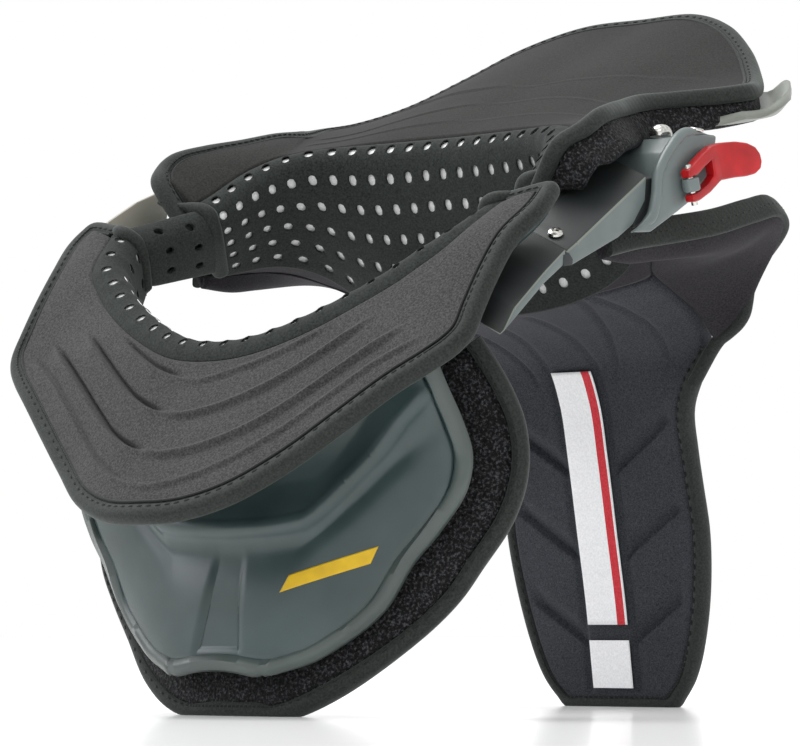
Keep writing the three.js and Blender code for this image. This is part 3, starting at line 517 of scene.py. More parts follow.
def finished(name, shape, finish, body="brace", crease=40):
    """A mesh piece from a bmesh, smooth shaded up to a crease angle, riding on its body.

    A piece that has a solid's name is labelled as its dressed form.
    """
    label = name + "_dressed" if name in bpy.data.objects else name
    mesh = bpy.data.meshes.new(label)
    shape.to_mesh(mesh)
    shape.free()
    mesh.materials.append(finish)
    mesh.polygons.foreach_set("use_smooth", [True] * len(mesh.polygons))
    mesh.set_sharp_from_angle(angle=math.radians(crease))
    piece = bpy.data.objects.new(label, mesh)
    bpy.context.scene.collection.objects.link(piece)
    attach(piece, body)
    return piece


def draped(columns, rows, place):
    """A grid laid on place(s, t); edges that meet are joined."""
    shape = bmesh.new()
    bmesh.ops.create_grid(shape, x_segments=columns, y_segments=rows, size=1)
    for vertex in shape.verts:
        vertex.co = placed(place((vertex.co.x + 1) / 2, (vertex.co.y + 1) / 2))
    bmesh.ops.remove_doubles(shape, verts=shape.verts, dist=1e-6)
    return shape


def closed(shape):
    bmesh.ops.holes_fill(shape, edges=[e for e in shape.edges if e.is_boundary], sides=0)
    bmesh.ops.recalc_face_normals(shape, faces=shape.faces)
    return shape


def ring(points, count):
    """Section loop read from 0 to 1 through points, closed and rounded."""
    stops = [Vector((a, b, 0)) for a, b in points]
    loop = rail([stops[-1]] + stops + [stops[0], stops[1]])
    span = len(stops) + 2
    return [loop((1 + len(stops) * k / count) / span) for k in range(count + 1)]


def swept(columns, section, line, rows):
    """A closed section swept along line(s) = (place, inward, up); section points are (reach in, rise)."""
    loop = ring(section, rows)

    def place(s, t):
        at, inward, up = line(s)
        reach, rise, _ = loop[round(t * rows)]
        return at + inward * reach + up * rise
    return closed(draped(columns, rows, place))


def stitched(line, reach, rise, pitch, half):
    """Row of thread dashes along a line, each a small flattened bead."""
    shape = bmesh.new()
    count = max(int(line_length(line) / pitch), 2)
    for k in range(count):
        s = (k + 0.5) / count
        at, inward, up = line(s)
        ahead = (line(min(s + 0.002, 1))[0] - line(max(s - 0.002, 0))[0]).normalized()
        side = inward.normalized()
        up = ahead.cross(side).normalized() * (1 if ahead.cross(side).dot(up) > 0 else -1)
        spot = at + inward * reach + up * rise
        axes = (ahead * half * MM, side * THREAD_HALF * MM, up * THREAD_RISE * MM)
        turn = Matrix(axes).transposed().to_4x4()
        turn.translation = placed(spot)
        bmesh.ops.create_uvsphere(shape, u_segments=6, v_segments=4, radius=1, matrix=turn)
    bmesh.ops.recalc_face_normals(shape, faces=shape.faces)
    return shape


def line_length(line):
    places = [line(s)[0] for s in steps(0, 1, LENGTH_STEPS)]
    return sum((b - a).length for a, b in zip(places, places[1:]))


def thickened(piece, thick, offset, levels=0):
    """Gives a sheet its wall: offset -1 is behind its faces, 1 in front of them and 0 half and half."""
    wall = piece.modifiers.new("wall", "SOLIDIFY")
    wall.thickness = thick * MM
    wall.offset = offset
    if levels:
        fine = piece.modifiers.new("fine", "SUBSURF")
        fine.levels = levels
        fine.render_levels = levels


def rounded(edge_mm, radius, full):
    """Height of a pad's rounded shoulder at a distance in from its edge."""
    if edge_mm >= radius:
        return full
    return full * math.sqrt(max(0.0, 1 - (1 - edge_mm / radius) ** 2))


# Tables: knitted covers with pressed pleats, taped edges and stitches

FRONT = Table(FRONT_TABLE, -1)
REAR = Table(REAR_TABLE, 1)
# Pleats: half length as a share of the table's, places across from the neck at even steps, lift and cut
FRONT_PLEATS = [
    {"span": 0.31, "across": (0.17, 0.12, 0.10, 0.09), "lift": 1.3, "cut": 1.8},
    {"span": 0.40, "across": (0.40, 0.345, 0.31, 0.285), "lift": 2.3, "cut": 3.0},
    {"span": 0.45, "across": (0.655, 0.60, 0.58, 0.59), "lift": 2.4, "cut": 3.2},
    {"span": 0.48, "across": (0.87, 0.78, 0.755, 0.83), "lift": 1.4, "cut": 0.6},
]
REAR_PLEATS = [
    {"span": 0.50, "across": (0.13, 0.15, 0.18, 0.22), "lift": 0.5, "cut": 0.0},
    {"span": 0.46, "across": (0.27, 0.29, 0.34, 0.42), "lift": 0.5, "cut": 0.1},
    {"span": 0.30, "across": (0.41, 0.45, 0.57, 0.85), "lift": 0.6, "cut": 0.1},
]
LIP_FALL, DROP_FALL = 6, 8
CUT_WIDTH, CREST_WIDTH = 0.8, 0.9
CREST_SHARE, DROP_SHARE = 0.35, 0.75
SHOULDER = 3.2
COVER_LIFT = 0.2
COVER_SLACK = 1.6
COVER_CROWN = 0.9
COVER_LENGTH = 420
# Sections of the folded tape and of the dark cord beside it, a painted shadow in the gap between tape and
# cover: reach in from the edge and rise
TABLE_TAPE = [
    (0.9, 0.9), (0.1, 2.4), (0.0, 4.2), (0.7, 6.2), (2.6, 7.3),
    (5.4, 7.0), (7.3, 5.6), (7.5, 3.0), (7.3, 0.6), (4, 0.2),
]
TABLE_SHADOW_LINE = [(7.3, 6.0), (6.7, 6.6), (7.2, 7.2), (8.0, 6.9), (8.1, 6.3)]


def pleat_height(lines, u, a, width):
    """Pressed pleats: a cut and a lip on the wearer's right, a crest that drops away on the left."""
    height = 0.0
    right = smooth(-0.02, 0.1, -u)
    for pleat in lines:
        share = abs(u) / pleat["span"]
        if share >= 1:
            continue
        off = (a - pleat["line"](share).x) * width
        past = max(off, 0)
        lip = pleat["lift"] * smooth(-0.3, 1.2, off) * math.exp(-past / LIP_FALL)
        groove = pleat["cut"] * smooth(0.02, 0.12, -u) * math.exp(-((off + 0.5) / CUT_WIDTH) ** 2)
        crest = CREST_SHARE * pleat["lift"] * math.exp(-((off + 0.4) / CREST_WIDTH) ** 2)
        drop = DROP_SHARE * pleat["lift"] * smooth(-0.2, 2.2, off) * math.exp(-past / DROP_FALL)
        fade = 1 - smooth(0.8, 1.0, share)
        height += fade * (right * (lip - groove) + (1 - right) * (crest - drop))
    return height


def table_cover(name, table, pleats, columns, top_rows, finish):
    rows = top_rows + UNDER_ROWS
    lines = [{**pleat, "line": rail([(place, 0, 0) for place in pleat["across"]])} for pleat in pleats]
    widths = {}

    def place(s, t):
        k = round(t * rows)
        width = widths.setdefault(s, (table.inner(s) - table.outer(s)).length)
        if k <= top_rows:
            a = k / top_rows
            edge = min(a, 1 - a) * width
            crown = COVER_CROWN * math.sin(math.pi * a)
            full = TABLE_PAD - COVER_SLACK + crown + pleat_height(lines, 2 * s - 1, a, width)
            ends = rounded(min(s, 1 - s) * COVER_LENGTH, SHOULDER, 1.0)
            return table.across(s, a, COVER_LIFT + rounded(edge, SHOULDER, full) * max(ends, 0.05))
        return table.across(s, 1 - (k - top_rows) / UNDER_ROWS, COVER_LIFT)
    piece = finished(name, closed(draped(columns, rows, place)), finish, crease=75)
    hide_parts(name)


def table_edge(name, table, columns):
    """Tape folded over the cover's outer edge, with its stitches and a dark cord beside it as painted
    shadow in the gap at the seam.
    """
    def line(s):
        return table.path(s), table.inward(s), table.normal(s)
    piece = finished(name, swept(columns, TABLE_TAPE, line, 30), EDGE_TAPE, crease=75)
    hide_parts(name)
    thread = stitched(line, reach=5.0, rise=7.15, pitch=3.6, half=1.4)
    dashes = finished(name + "_stitches", thread, THREAD)
    # Dark cord along the tape's inner edge: painted shadow in the gap between tape and cover
    cord = finished(name + "_seam", swept(columns, TABLE_SHADOW_LINE, line, 8), THREAD, crease=75)


table_cover("front_table_pad", FRONT, FRONT_PLEATS, columns=230, top_rows=150, finish=TABLE_KNIT)
table_cover("rear_table_pad", REAR, REAR_PLEATS, columns=220, top_rows=150, finish=REAR_KNIT_PAINTED_SHADE)
table_edge("front_table_binding", FRONT, columns=220)
table_edge("rear_table_binding", REAR, columns=260)


# Neck linings: a roll of perforated knit, and the pale felt seen through its holes

LINING_WALL = 0.6
FELT_DEPTH = 0.6
FELT_TOP = 0.06
HEM_RISE = 3.4
HOLE_INSET = 0.6
FRONT_END, REAR_END = 0.93, 0.89


def perforated(shape, cells, hole_mm):
    """Opens a round hole in each of the cells."""
    centres = [(f.calc_center_median(), f.normal.copy()) for f in cells]
    bmesh.ops.inset_individual(shape, faces=cells, thickness=HOLE_INSET * MM, depth=0.0)
    for face, (centre, normal) in zip(cells, centres):
        bmesh.ops.subdivide_edges(shape, edges=list(face.edges), cuts=2)
        for vertex in face.verts:
            flat = vertex.co - centre
            flat -= normal * flat.dot(normal)
            vertex.co = centre + flat.normalized() * hole_mm / 2 * MM
    bmesh.ops.delete(shape, geom=cells, context="FACES")


def spread_cells(shape, around, pitch):
    """Every second row's cells, pitch cells apart."""
    shape.faces.ensure_lookup_table()
    return [f for k, f in enumerate(shape.faces) if (k % around) % pitch == 1 and (k // around) % 2 == 1]


def tube(name, points, radius, finish, across, taper=0.0):
    """A round roll along a curve, thinner at its ends by taper; across is any direction not along it."""
    run = rail(points)

    def line(s):
        ahead = (run(min(s + 0.01, 1)) - run(max(s - 0.01, 0))).normalized()
        side = ahead.cross(Vector(across)).normalized()
        full = smooth(0.0, taper, min(s, 1 - s)) if taper else 1.0
        return run(s), side * max(full, 0.12), ahead.cross(side) * max(full, 0.12)
    angles = [2 * math.pi * k / 10 for k in range(10)]
    section = [(radius * math.cos(a), radius * math.sin(a)) for a in angles]
    piece = finished(name, swept(60, section, line, 20), finish, crease=80)


def even_stations(lining, end, count):
    """Places along the lining that are evenly spaced by length."""
    fine = steps(-end, end, 240)
    spots = [lining.surface(u, 0.35) for u in fine]
    lengths = [0.0]
    for a, b in zip(spots, spots[1:]):
        lengths.append(lengths[-1] + (b - a).length)
    stations, k = [], 0
    for want in steps(0, lengths[-1], count):
        while k < len(fine) - 2 and lengths[k + 1] < want:
            k += 1
        share = (want - lengths[k]) / (lengths[k + 1] - lengths[k])
        stations.append(fine[k] + (fine[k + 1] - fine[k]) * share)
    return stations


def lining_piece(name, table, end, columns, pitch, rows, hole_mm, backing_name, hem_radius):
    lining, around = Lining(table), pitch * columns + 1
    stations = even_stations(lining, end, around)
    shape = draped(around, 2 * rows + 1, lambda s, t: lining.surface(stations[round(s * around)], t))
    perforated(shape, spread_cells(shape, around, pitch), hole_mm)
    piece = finished(name, shape, LINING_KNIT, crease=80)
    thickened(piece, LINING_WALL, offset=-table.facing, levels=1)
    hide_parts(name)

    def felt_place(s, t):
        v = FELT_TOP + (0.98 - FELT_TOP) * t
        return lining.behind((2 * s - 1) * (end - 0.01), v, -FELT_DEPTH - 0.7 * (1 - smooth(0.1, 0.4, v)))
    felt = finished(backing_name, draped(120, 40, felt_place), BACKING_FELT, crease=80)
    thickened(felt, BACKING, offset=table.facing)
    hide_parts(backing_name)
    for side, label in ((-1, "right"), (1, "left")):
        corner = table.path(0.5 + 0.48 * side) + table.normal(0.5 + 0.48 * side) * HEM_RISE
        hem = [corner.lerp(table.path(0.5 + 0.5 * side), 0.2)]
        hem += [lining.surface(side * end, t) for t in steps(0.2, 1, 8)]
        tube(f"{name}_hem_{label}", hem, hem_radius, EDGE_TAPE, (0, 1, 0), taper=0.1)
    return lining


FRONT_ROLL = lining_piece(
    "front_neck_lining", FRONT, FRONT_END, columns=22, pitch=3, rows=3, hole_mm=4.4,
    backing_name="front_lining_backing", hem_radius=3.0)
REAR_ROLL = lining_piece(
    "rear_neck_lining", REAR, REAR_END, columns=25, pitch=2, rows=6, hole_mm=4.6,
    backing_name="rear_lining_backing", hem_radius=3.6)


# Shells: chest plate, table plates, collar walls and corner tips, and the loop strips under the rear table

CHEST_SHELL = patch_surface(CHEST_PLATE_ROWS)
SHELL_HEIGHT = 118
COLLAR_WALL = 2
RIM_WIDTH, RIM_RISE, RIM_GROOVE = 3.1, 1.7, 1.3
PANEL_DEPTH = 1.6
RIDGE_RISE, CREST_RISE, VALLEY_DEPTH, BACK_DEPTH = 1.8, 1.1, 1.4, 2.8
PANEL_FOOT, PANEL_TOP = 13.5, 7.5
SHOULDER_CREASE = rail([(height, 0, 0) for height in (0.44, 0.445, 0.465, 0.62, 0.80, 0.92)])


def chest_edge_mm(u, v):
    return min((1 - abs(v)) * CHEST_SHELL(u, 1).x, u * SHELL_HEIGHT)


def chest_relief(u, v):
    """Raised lip round the edge, a sunk panel in the middle and a ridge swept up to the shoulders."""
    edge_mm = chest_edge_mm(u, v)
    lip = RIM_RISE * (1 - smooth(RIM_WIDTH - 1.2, RIM_WIDTH + 0.4, edge_mm)) * smooth(-0.8, 1.4, edge_mm)
    lip -= RIM_GROOVE * math.exp(-((edge_mm - RIM_WIDTH - 1.6) / 1.3) ** 2)
    half = PANEL_FOOT + (PANEL_TOP - PANEL_FOOT) * smooth(0.0, 0.44, u)
    across = abs(CHEST_SHELL(u, v).x)
    panel = PANEL_DEPTH * (1 - smooth(half - 2.8, half + 0.6, across))
    panel *= (1 - smooth(0.2, 0.42, u)) * smooth(0.03, 0.1, u)
    over = u - SHOULDER_CREASE(abs(v)).x
    inside = smooth(1.0, 10.0, (1 - abs(v)) * CHEST_SHELL(u, 1).x)
    flank = 0.03 if over < 0 else 0.04
    ridge = RIDGE_RISE * math.exp(-(over / flank) ** 2) + CREST_RISE * math.exp(-(over / 0.013) ** 2)
    valley = VALLEY_DEPTH * math.exp(-((over + 0.1) / 0.06) ** 2)
    back = BACK_DEPTH * smooth(0.02, 0.14, over)
    return lip - panel + inside * (ridge - valley - back)


BAR_FROM, BAR_TO, BAR_HEIGHT, BAR_THICK = (27, 47), (63, 58), 6.5, 0.25


def shell_place(x, z):
    """Row and share across of the chest plate's point at x, z."""
    low, high = 0.0, 1.0
    for _ in range(30):
        u = (low + high) / 2
        if CHEST_SHELL(u, x / CHEST_SHELL(u, 1).x).z < z:
            low = u
        else:
            high = u
    return u, x / CHEST_SHELL(u, 1).x


def chest_plate():
    def place(s, t):
        u, v = t, 2 * s - 1
        round_off = 2.4 * smooth(0.55, 1.0, abs(v)) ** 2 * (1 - smooth(0.0, 0.09, u))
        at = CHEST_SHELL(u, v) + Vector((0, 0, round_off))
        return at + surface_normal(CHEST_SHELL, max(u, 0.003), v * 0.99, -1) * (chest_relief(u, v) - 0.4)
    columns, rows = 170, 150
    shape = draped(columns, rows, place)
    for face in shape.faces:
        s, t = (face.index % columns + 0.5) / columns, (face.index // columns + 0.5) / rows
        # Faces on the rim take the lighter copy of the shell nylon as painted highlight
        face.material_index = 1 if chest_edge_mm(t, 2 * s - 1) < RIM_WIDTH - 0.4 else 0
    piece = finished("chest_plate", shape, SHELL_NYLON, crease=60)
    piece.data.materials.append(RIM_PAINTED_HIGHLIGHT)
    thickened(piece, PLATE, offset=1.0)
    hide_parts("front_chassis")

    def on_plate(s, t):
        x = BAR_FROM[0] + (BAR_TO[0] - BAR_FROM[0]) * s + BAR_HEIGHT * 0.5 * t
        z = BAR_FROM[1] + (BAR_TO[1] - BAR_FROM[1]) * s + BAR_HEIGHT * t
        u, v = shell_place(x, z)
        lift = chest_relief(u, v) + PLATE - 0.32
        return CHEST_SHELL(u, v) + surface_normal(CHEST_SHELL, u, v, -1) * lift
    accent = finished("plain_accent_bar", draped(40, 10, on_plate), YELLOW_INK, crease=60)
    thickened(accent, BAR_THICK, offset=0.0)


def hidden_plate(name, table, node):
    def place(s, t):
        return table.across(s, 0.94 * t, -TABLE_GAP - PLATE_DROP * t)
    piece = finished(name, draped(90, 14, place), SHELL_NYLON, crease=60)
    thickened(piece, PLATE, offset=-1.0)
    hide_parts(node)


def collar_wall(name, roll, end, first, last, node):
    depth = -LINING - BACKING - 2 * LAYER_GAP

    def place(s, t):
        return roll.behind((2 * s - 1) * end, first + (last - first) * t, depth)
    piece = finished(name, draped(70, 14, place), SHELL_NYLON, crease=60)
    thickened(piece, COLLAR_WALL, offset=0.0)
    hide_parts(node)


chest_plate()
hidden_plate("front_table_plate", FRONT, "front_chassis")
collar_wall("front_collar_wall", FRONT_ROLL, end=0.82, first=0.5, last=1.0, node="front_chassis")
hidden_plate("rear_table_plate", REAR, "rear_chassis")
collar_wall("rear_collar_wall", REAR_ROLL, end=0.78, first=0.16, last=0.98, node="rear_chassis")


# Corner tips: shares along the half table, share across where they start, reach past the edge, and wall
TIP_FIRST, TIP_LAST, TIP_INNER, TIP_REACH, TIP_WALL = 0.27, 0.47, 0.74, 0.13, 3.4
# Section of the loop strips: reach in from the edge and rise
LOOP_SECTION = [(3.0, 0.2), (2.6, -2.5), (3.0, -5.6), (5.5, -6.4), (7.4, -5.6), (7.6, -2.5), (7.0, 0.2)]


def corner_tip(name, side):
    """Moulded corner of the rear plate that shows past the pad and curls up at its edge."""
    def place(s, t):
        u = side * (TIP_FIRST + (TIP_LAST - TIP_FIRST) * s)
        out = TIP_REACH * smooth(0.0, 0.22, s) ** 0.5 * (1 - 0.9 * smooth(0.3, 1.0, s))
        v = TIP_INNER + (1 + out - TIP_INNER) * t
        curl = (4.5 + 1.5 * (1 - smooth(0.1, 0.6, s))) * smooth(1.02, 1.12, v) - 1.2
        lift = curl - TABLE_GAP - PLATE_DROP
        return REAR.surface(u, v) + surface_normal(REAR.surface, u, 0.9, 1) * lift
    shape = draped(40, 24, place)
    bmesh.ops.recalc_face_normals(shape, faces=shape.faces)
    piece = finished(name, shape, PALE_NYLON_AND_EDGE_HIGHLIGHT, crease=60)
    thickened(piece, TIP_WALL, offset=-1.0 if side > 0 else 1.0)
    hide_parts("rear_chassis")


def loop_skirt(name, first, last):
    """Strip of loop pile below the taped edge of the rear table, deeper towards the arm."""
    def line(s):
        at = first + (last - first) * s
        deep = (1.3 + 0.7 * smooth(0.30, 0.70, s)) * (0.25 + 0.75 * smooth(0.0, 0.03, min(s, 1 - s)))
        return REAR.path(at), REAR.inward(at), REAR.normal(at) * deep
    piece = finished(name, swept(120, LOOP_SECTION, line, 20), LOOP_PILE, crease=75)


corner_tip("rear_corner_tip_left", 1)
corner_tip("rear_corner_tip_right", -1)
loop_skirt("rear_loop_strip_left", first=0.56, last=0.997)
loop_skirt("rear_loop_strip_right", first=0.44, last=0.09)


# Chest and back pads: padded panels inside taped edges

PANEL_SHOULDER = 4.0
PANEL_HEIGHT = 160
PANEL_LIFT = 0.3
PANEL_SLACK = 0.5


def panel_pad(name, patch, thick, relief, columns, top_rows, finish, last=1.0):
    rows = top_rows + UNDER_ROWS

    def place(s, t):
        k = round(t * rows)
        if k <= top_rows:
            v = -1 + 2 * k / top_rows
            width = patch.inside(s * last, 1).x
            side = (1 - abs(v)) * width
            ends = min(s, 1 - s) * PANEL_HEIGHT
            height = rounded(min(side, ends + PANEL_LIFT), PANEL_SHOULDER, thick - PANEL_SLACK)
            height += relief(s * last, v, min(side, ends))
            return patch.at(s * last, v, -thick + PANEL_LIFT + height)
        return patch.at(s * last, 1 - 2 * (k - top_rows) / UNDER_ROWS, -thick + PANEL_LIFT)
    piece = finished(name, closed(draped(columns, rows, place)), finish, crease=75)
    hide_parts(name)


def panel_edge(name, patch, width, low, high, columns, finish, thread_reach, pitch):
    def line(s):
        return patch.path(s), patch.inward(s), patch.normal(s)
    section = [
        (0.7, low + 1.2), (0.0, low + 3.0), (0.0, high - 3.0), (1.0, high - 0.9), (2.8, high),
        (width - 1.6, high - 0.2), (width - 0.1, high - 1.6), (width, low + 2.0), (width - 1.0, low + 0.3),
        (2.4, low + 0.2),
    ]
    shape = swept(columns, section, line, 30)
    for vertex in shape.verts:
        vertex.co.z = max(vertex.co.z, 0.0)
    piece = finished(name, shape, finish, crease=75)
    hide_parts(name)
    thread = stitched(line, thread_reach, rise=high - 0.15, pitch=pitch, half=1.3)
    dashes = finished(name + "_stitches", thread, THREAD)


CHEST_TAPE = 6.4
CHEST_TOP = {"mid": (0, -97.5, 115), "edge": (100, -73.5, 142)}
CHEST = Patch(CHEST_PAD_ROWS + [CHEST_TOP], 1, CHEST_TAPE - TAPE_TUCK)
BACK = Patch(BACK_PAD_ROWS, BACK_BOUND, BACK_BINDING - TAPE_TUCK, BACK_BEYOND)
RIB_PITCH, RIB_SLOPE, RIB_START, RIB_DEPTH, SPINE = 36, 0.68, 27, 3.2, 13
RIB_FADE = (118, 140)
SPINE_GROOVE, FOLD_DEPTH = 1.0, 1.3
PILE_WAVE, SEAM_PULL = 0.25, 0.8
# Soft folds at the top of the back pad: shares across at their lower and upper ends
FOLDS = ((0.34, 0.60), (0.74, 0.66))


def pile_relief(t, v, edge_mm):
    """Slightly uneven pile, pulled down by the seam of the tape."""
    return PILE_WAVE * math.sin(9 * v + 14 * t) - SEAM_PULL * math.exp(-((edge_mm - 1.5) / 2.0) ** 2)


def herringbone(t, v, edge_mm):
    """Moulded chevrons that rise outwards from a flat spine, and soft folds that meet at the top."""
    place = BACK.inside(t, v)
    x = abs(place.x)
    folds = 0.0
    for low, high in FOLDS:
        middle = low + (high - low) * smooth(0.7, 1.0, t)
        folds += FOLD_DEPTH * math.exp(-((abs(v) - middle) / 0.02) ** 2) * smooth(0.66, 0.76, t)
    along = (place.z - RIB_SLOPE * max(x - SPINE, 0) - RIB_START) / RIB_PITCH
    phase = along - math.floor(along)
    facet = RIB_DEPTH * (1 - smooth(0.0, 0.3, phase))
    inside = smooth(SPINE - 2, SPINE + 4, x) * smooth(4.0, 10.0, edge_mm) * (1 - smooth(*RIB_FADE, place.z))
    spine = SPINE_GROOVE * math.exp(-((x - SPINE) / 1.8) ** 2) * smooth(6.0, 12.0, edge_mm)
    return -inside * facet - spine - folds


panel_pad("chest_pad", CHEST, CHEST_PAD, pile_relief, columns=100, top_rows=90,
          finish=LOOP_PILE)
panel_edge("chest_pad_binding", CHEST, CHEST_TAPE, low=-CHEST_PAD, high=0.5, columns=200,
           finish=EDGE_TAPE, thread_reach=4.6, pitch=4.0)
panel_pad("back_pad", BACK, BACK_PAD, herringbone, columns=220, top_rows=110,
          finish=BACK_KNIT, last=0.985)
panel_edge("back_pad_binding", BACK, BACK_BINDING, low=-BACK_PAD, high=0.5, columns=160,
           finish=BACK_TAPE, thread_reach=4.9, pitch=3.6)


def back_strut():
    def place(s, t):
        return BACK.at(0.06 + 0.93 * s, 0.8 * (2 * t - 1), -BACK_PAD - PLATE_GAP)
    strut = finished("back_strut", draped(60, 20, place), SHELL_NYLON, crease=60)
    thickened(strut, PLATE, offset=-1.0)
    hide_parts("rear_chassis")


back_strut()

# Blank sewn patches, one with a plain coloured edge

PATCH_HALF, PATCH_LIFT, PATCH_THICK = 10.5, 1.0, 0.3
STRIPE_COLUMNS = (15, 19)


def sewn_patch(name, foot, head, stripe):
    def place(s, t):
        u = foot + (head - foot) * t
        across = PATCH_HALF * (2 * s - 1) / BACK.surface(u, 1).x
        return BACK.surface(u, across) + BACK.up(u, 0.0) * PATCH_LIFT
    columns = 20
    shape = draped(columns, 40, place)
    for face in shape.faces:
        inside = STRIPE_COLUMNS[0] <= face.index % columns < STRIPE_COLUMNS[1]
        face.material_index = 1 if stripe and inside else 0
    tag = finished(name, shape, PATCH_WHITE, crease=60)
    tag.data.materials.append(PATCH_RED)
    middle = [place(0.5, k / 20) for k in range(21)]
    thickened(tag, PATCH_THICK, offset=0.0)
    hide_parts(name)


sewn_patch("label_large", foot=0.268, head=0.67, stripe=True)
sewn_patch("label_small", foot=0.11, head=0.245, stripe=False)

# Shoulder wings: flared soft pads with a rolled, taped lip

WING_RAILS = [rail([row[column] for row in WING_ROWS]) for column in ("root", "fold", "lip", "top")]
WING_WALL, GUSSET_WALL, WING_HEM = 3.0, 1.6, 2.9
# Section of the taped lip: reach down from the wing's top and rise to either side
WING_LIP = [
    (-1.2, -1.9), (-2.2, 0.0), (-1.2, 1.9), (2.0, 2.6), (7.6, 2.4), (8.8, 1.6),
    (8.8, -1.6), (7.6, -2.4), (2.0, -2.6),
]


def wing_point(u, v, side):
    p = rail([run(u) for run in WING_RAILS])(v)
    return Vector((side * p.x, p.y, p.z))


def wing_pad(name, side):
    def surface(u, v):
        return wing_point(u, min(max(v, 0), 1), side)

    shape = draped(110, 60, surface)
    bmesh.ops.recalc_face_normals(shape, faces=shape.faces)
    piece = finished(name, shape, WING_KNIT, crease=75)
    thickened(piece, WING_WALL, offset=0.0)
    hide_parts(name)
    start = BACK.path(0.97 if side > 0 else 0.03)
    hem = [start] + [surface(1, v) for v in steps(0.02, 1, 8)]
    tube(name + "_hem", hem, WING_HEM, EDGE_TAPE, (0, 1, 0))

    def line(s):
        top, lip = surface(s, 1), surface(s, 0.86)
        ahead = surface(min(s + 0.01, 1), 1) - surface(max(s - 0.01, 0), 1)
        inward = (lip - top).normalized()
        return top, inward, ahead.cross(inward).normalized() * side
    lip = finished(name + "_lip", swept(90, WING_LIP, line, 26), EDGE_TAPE, crease=75)
    for index, rise in enumerate((2.4, -2.4)):
        thread = stitched(line, reach=3.9, rise=rise, pitch=3.8, half=1.2)
        dashes = finished(f"{name}_stitches_{index}", thread, THREAD)


wing_pad("wing_pad_left", 1)
wing_pad("wing_pad_right", -1)


def wing_gusset(name, side):
    """Soft panel from the lining's foot to the wing's root and the top of the back pad."""
    away = [wing_point(u, 0, side) for u in (0, 0.2, 0.4, 0.55)]
    away += [BACK.surface(1, side * v) for v in (0.95, 0.7, 0.4)]
    edge = rail(away)
    shape = draped(60, 8, lambda s, t: REAR_ROLL.surface(side * (0.87 - 0.67 * s), 0.97).lerp(edge(s), t))
    bmesh.ops.recalc_face_normals(shape, faces=shape.faces)
    piece = finished(name, shape, WING_KNIT, crease=75)
    thickened(piece, GUSSET_WALL, offset=0.0)


wing_gusset("wing_gusset_left", 1)
wing_gusset("wing_gusset_right", -1)

# Sides: arm, clasp and hinge

ARM_X, ARM_WIDTH, ARM_RISE = 122, 20, 10
# Side outlines as (y, z)
FRONT_ARM = [(-88, 140), (-62, 161), (-49, 169.5), (-49, 175), (-62, 165.5), (-80, 151)]
SLIDER = [(-46, 168.5), (-16, 181.5), (-7, 187), (1, 197), (2, 207), (-42, 178), (-48.6, 174)]
BRACKET = [
    (-11, 184), (1.5, 190.5), (5, 199), (6.6, 208), (14, 218), (23, 225),
    (43, 226), (41, 214), (33, 203), (17, 194), (0, 185),
]
SLIDER_WEB = [(-41, 184.5), (1, 212.5), (1, 216), (-41, 187.8)]
# Outline of the dark plate that paints the shade in the gap behind the slider's end
GAP_SHADE_OUTLINE = [(-6, 186), (4, 191), (8, 202), (10, 207), (3, 206), (-2, 200)]
# Outline of a dark box on the arm's side: painted shadow of the gap between arm and slider
SHADOW_MARK_OUTLINE = [(-51, 168.4), (-45.5, 169.2), (-45.2, 171.4), (-47.5, 173.6), (-50.8, 172.6)]
HINGE_COVER = [
    (-47, 178), (-46, 195), (-41, 199.5), (-24, 209), (-9, 215), (-3, 211), (-8, 194), (-20, 183),
]
BRACKET_WEB = [(10, 206), (15, 217.5), (23, 224.2), (39, 225.2), (37, 214), (30, 205)]


def bar(outline, x, width, rise, bevel, side=1):
    """A side outline (y, z) given a width towards the neck, its edges rounded."""
    shape = bmesh.new()
    face = shape.faces.new([shape.verts.new((x * side, y, z)) for y, z in outline])
    grown = bmesh.ops.extrude_face_region(shape, geom=[face])["geom"]
    moved = [v for v in grown if isinstance(v, bmesh.types.BMVert)]
    bmesh.ops.translate(shape, verts=moved, vec=(-width * side, 0, rise))
    bmesh.ops.recalc_face_normals(shape, faces=shape.faces)
    bmesh.ops.bevel(shape, geom=shape.edges[:], offset=bevel, segments=3, profile=0.5,
                    affect="EDGES", material=-1, clamp_overlap=True)
    for vertex in shape.verts:
        vertex.co = placed(vertex.co)
    return shape


def paint_top_shade_and_edge_highlight(piece, top):
    """Painted shade and highlight: the upper face takes the dark nylon as painted shade, flat sides stay
    grey, and the upward rounded edges between them take the pale nylon as painted highlight.
    """
    piece.data.materials.append(DARK_NYLON_AND_PAINTED_SHADE)
    piece.data.materials.append(PALE_NYLON_AND_EDGE_HIGHLIGHT)
    for polygon in piece.data.polygons:
        flat_side = abs(polygon.normal.x) > 0.97 or abs(polygon.normal.dot(top)) > 0.9
        if polygon.normal.dot(top) > 0.9:
            polygon.material_index = 1
        elif not flat_side and polygon.normal.z > 0.2:
            polygon.material_index = 2


def plastic_bar(name, shape, node, finish=ARM_NYLON):
    piece = finished(name, shape, finish, crease=30)
    if node:
        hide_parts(node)
    return piece


BRACKET_WALL = 3
HINGE_X = 129
OUTSIDE = ARM_X + GAP
# Directions of the upper faces of the front arms and of the slider
ARM_TOP = (0.42, -0.53, 0.74)
SLIDE_TOP = (0.39, -0.51, 0.77)

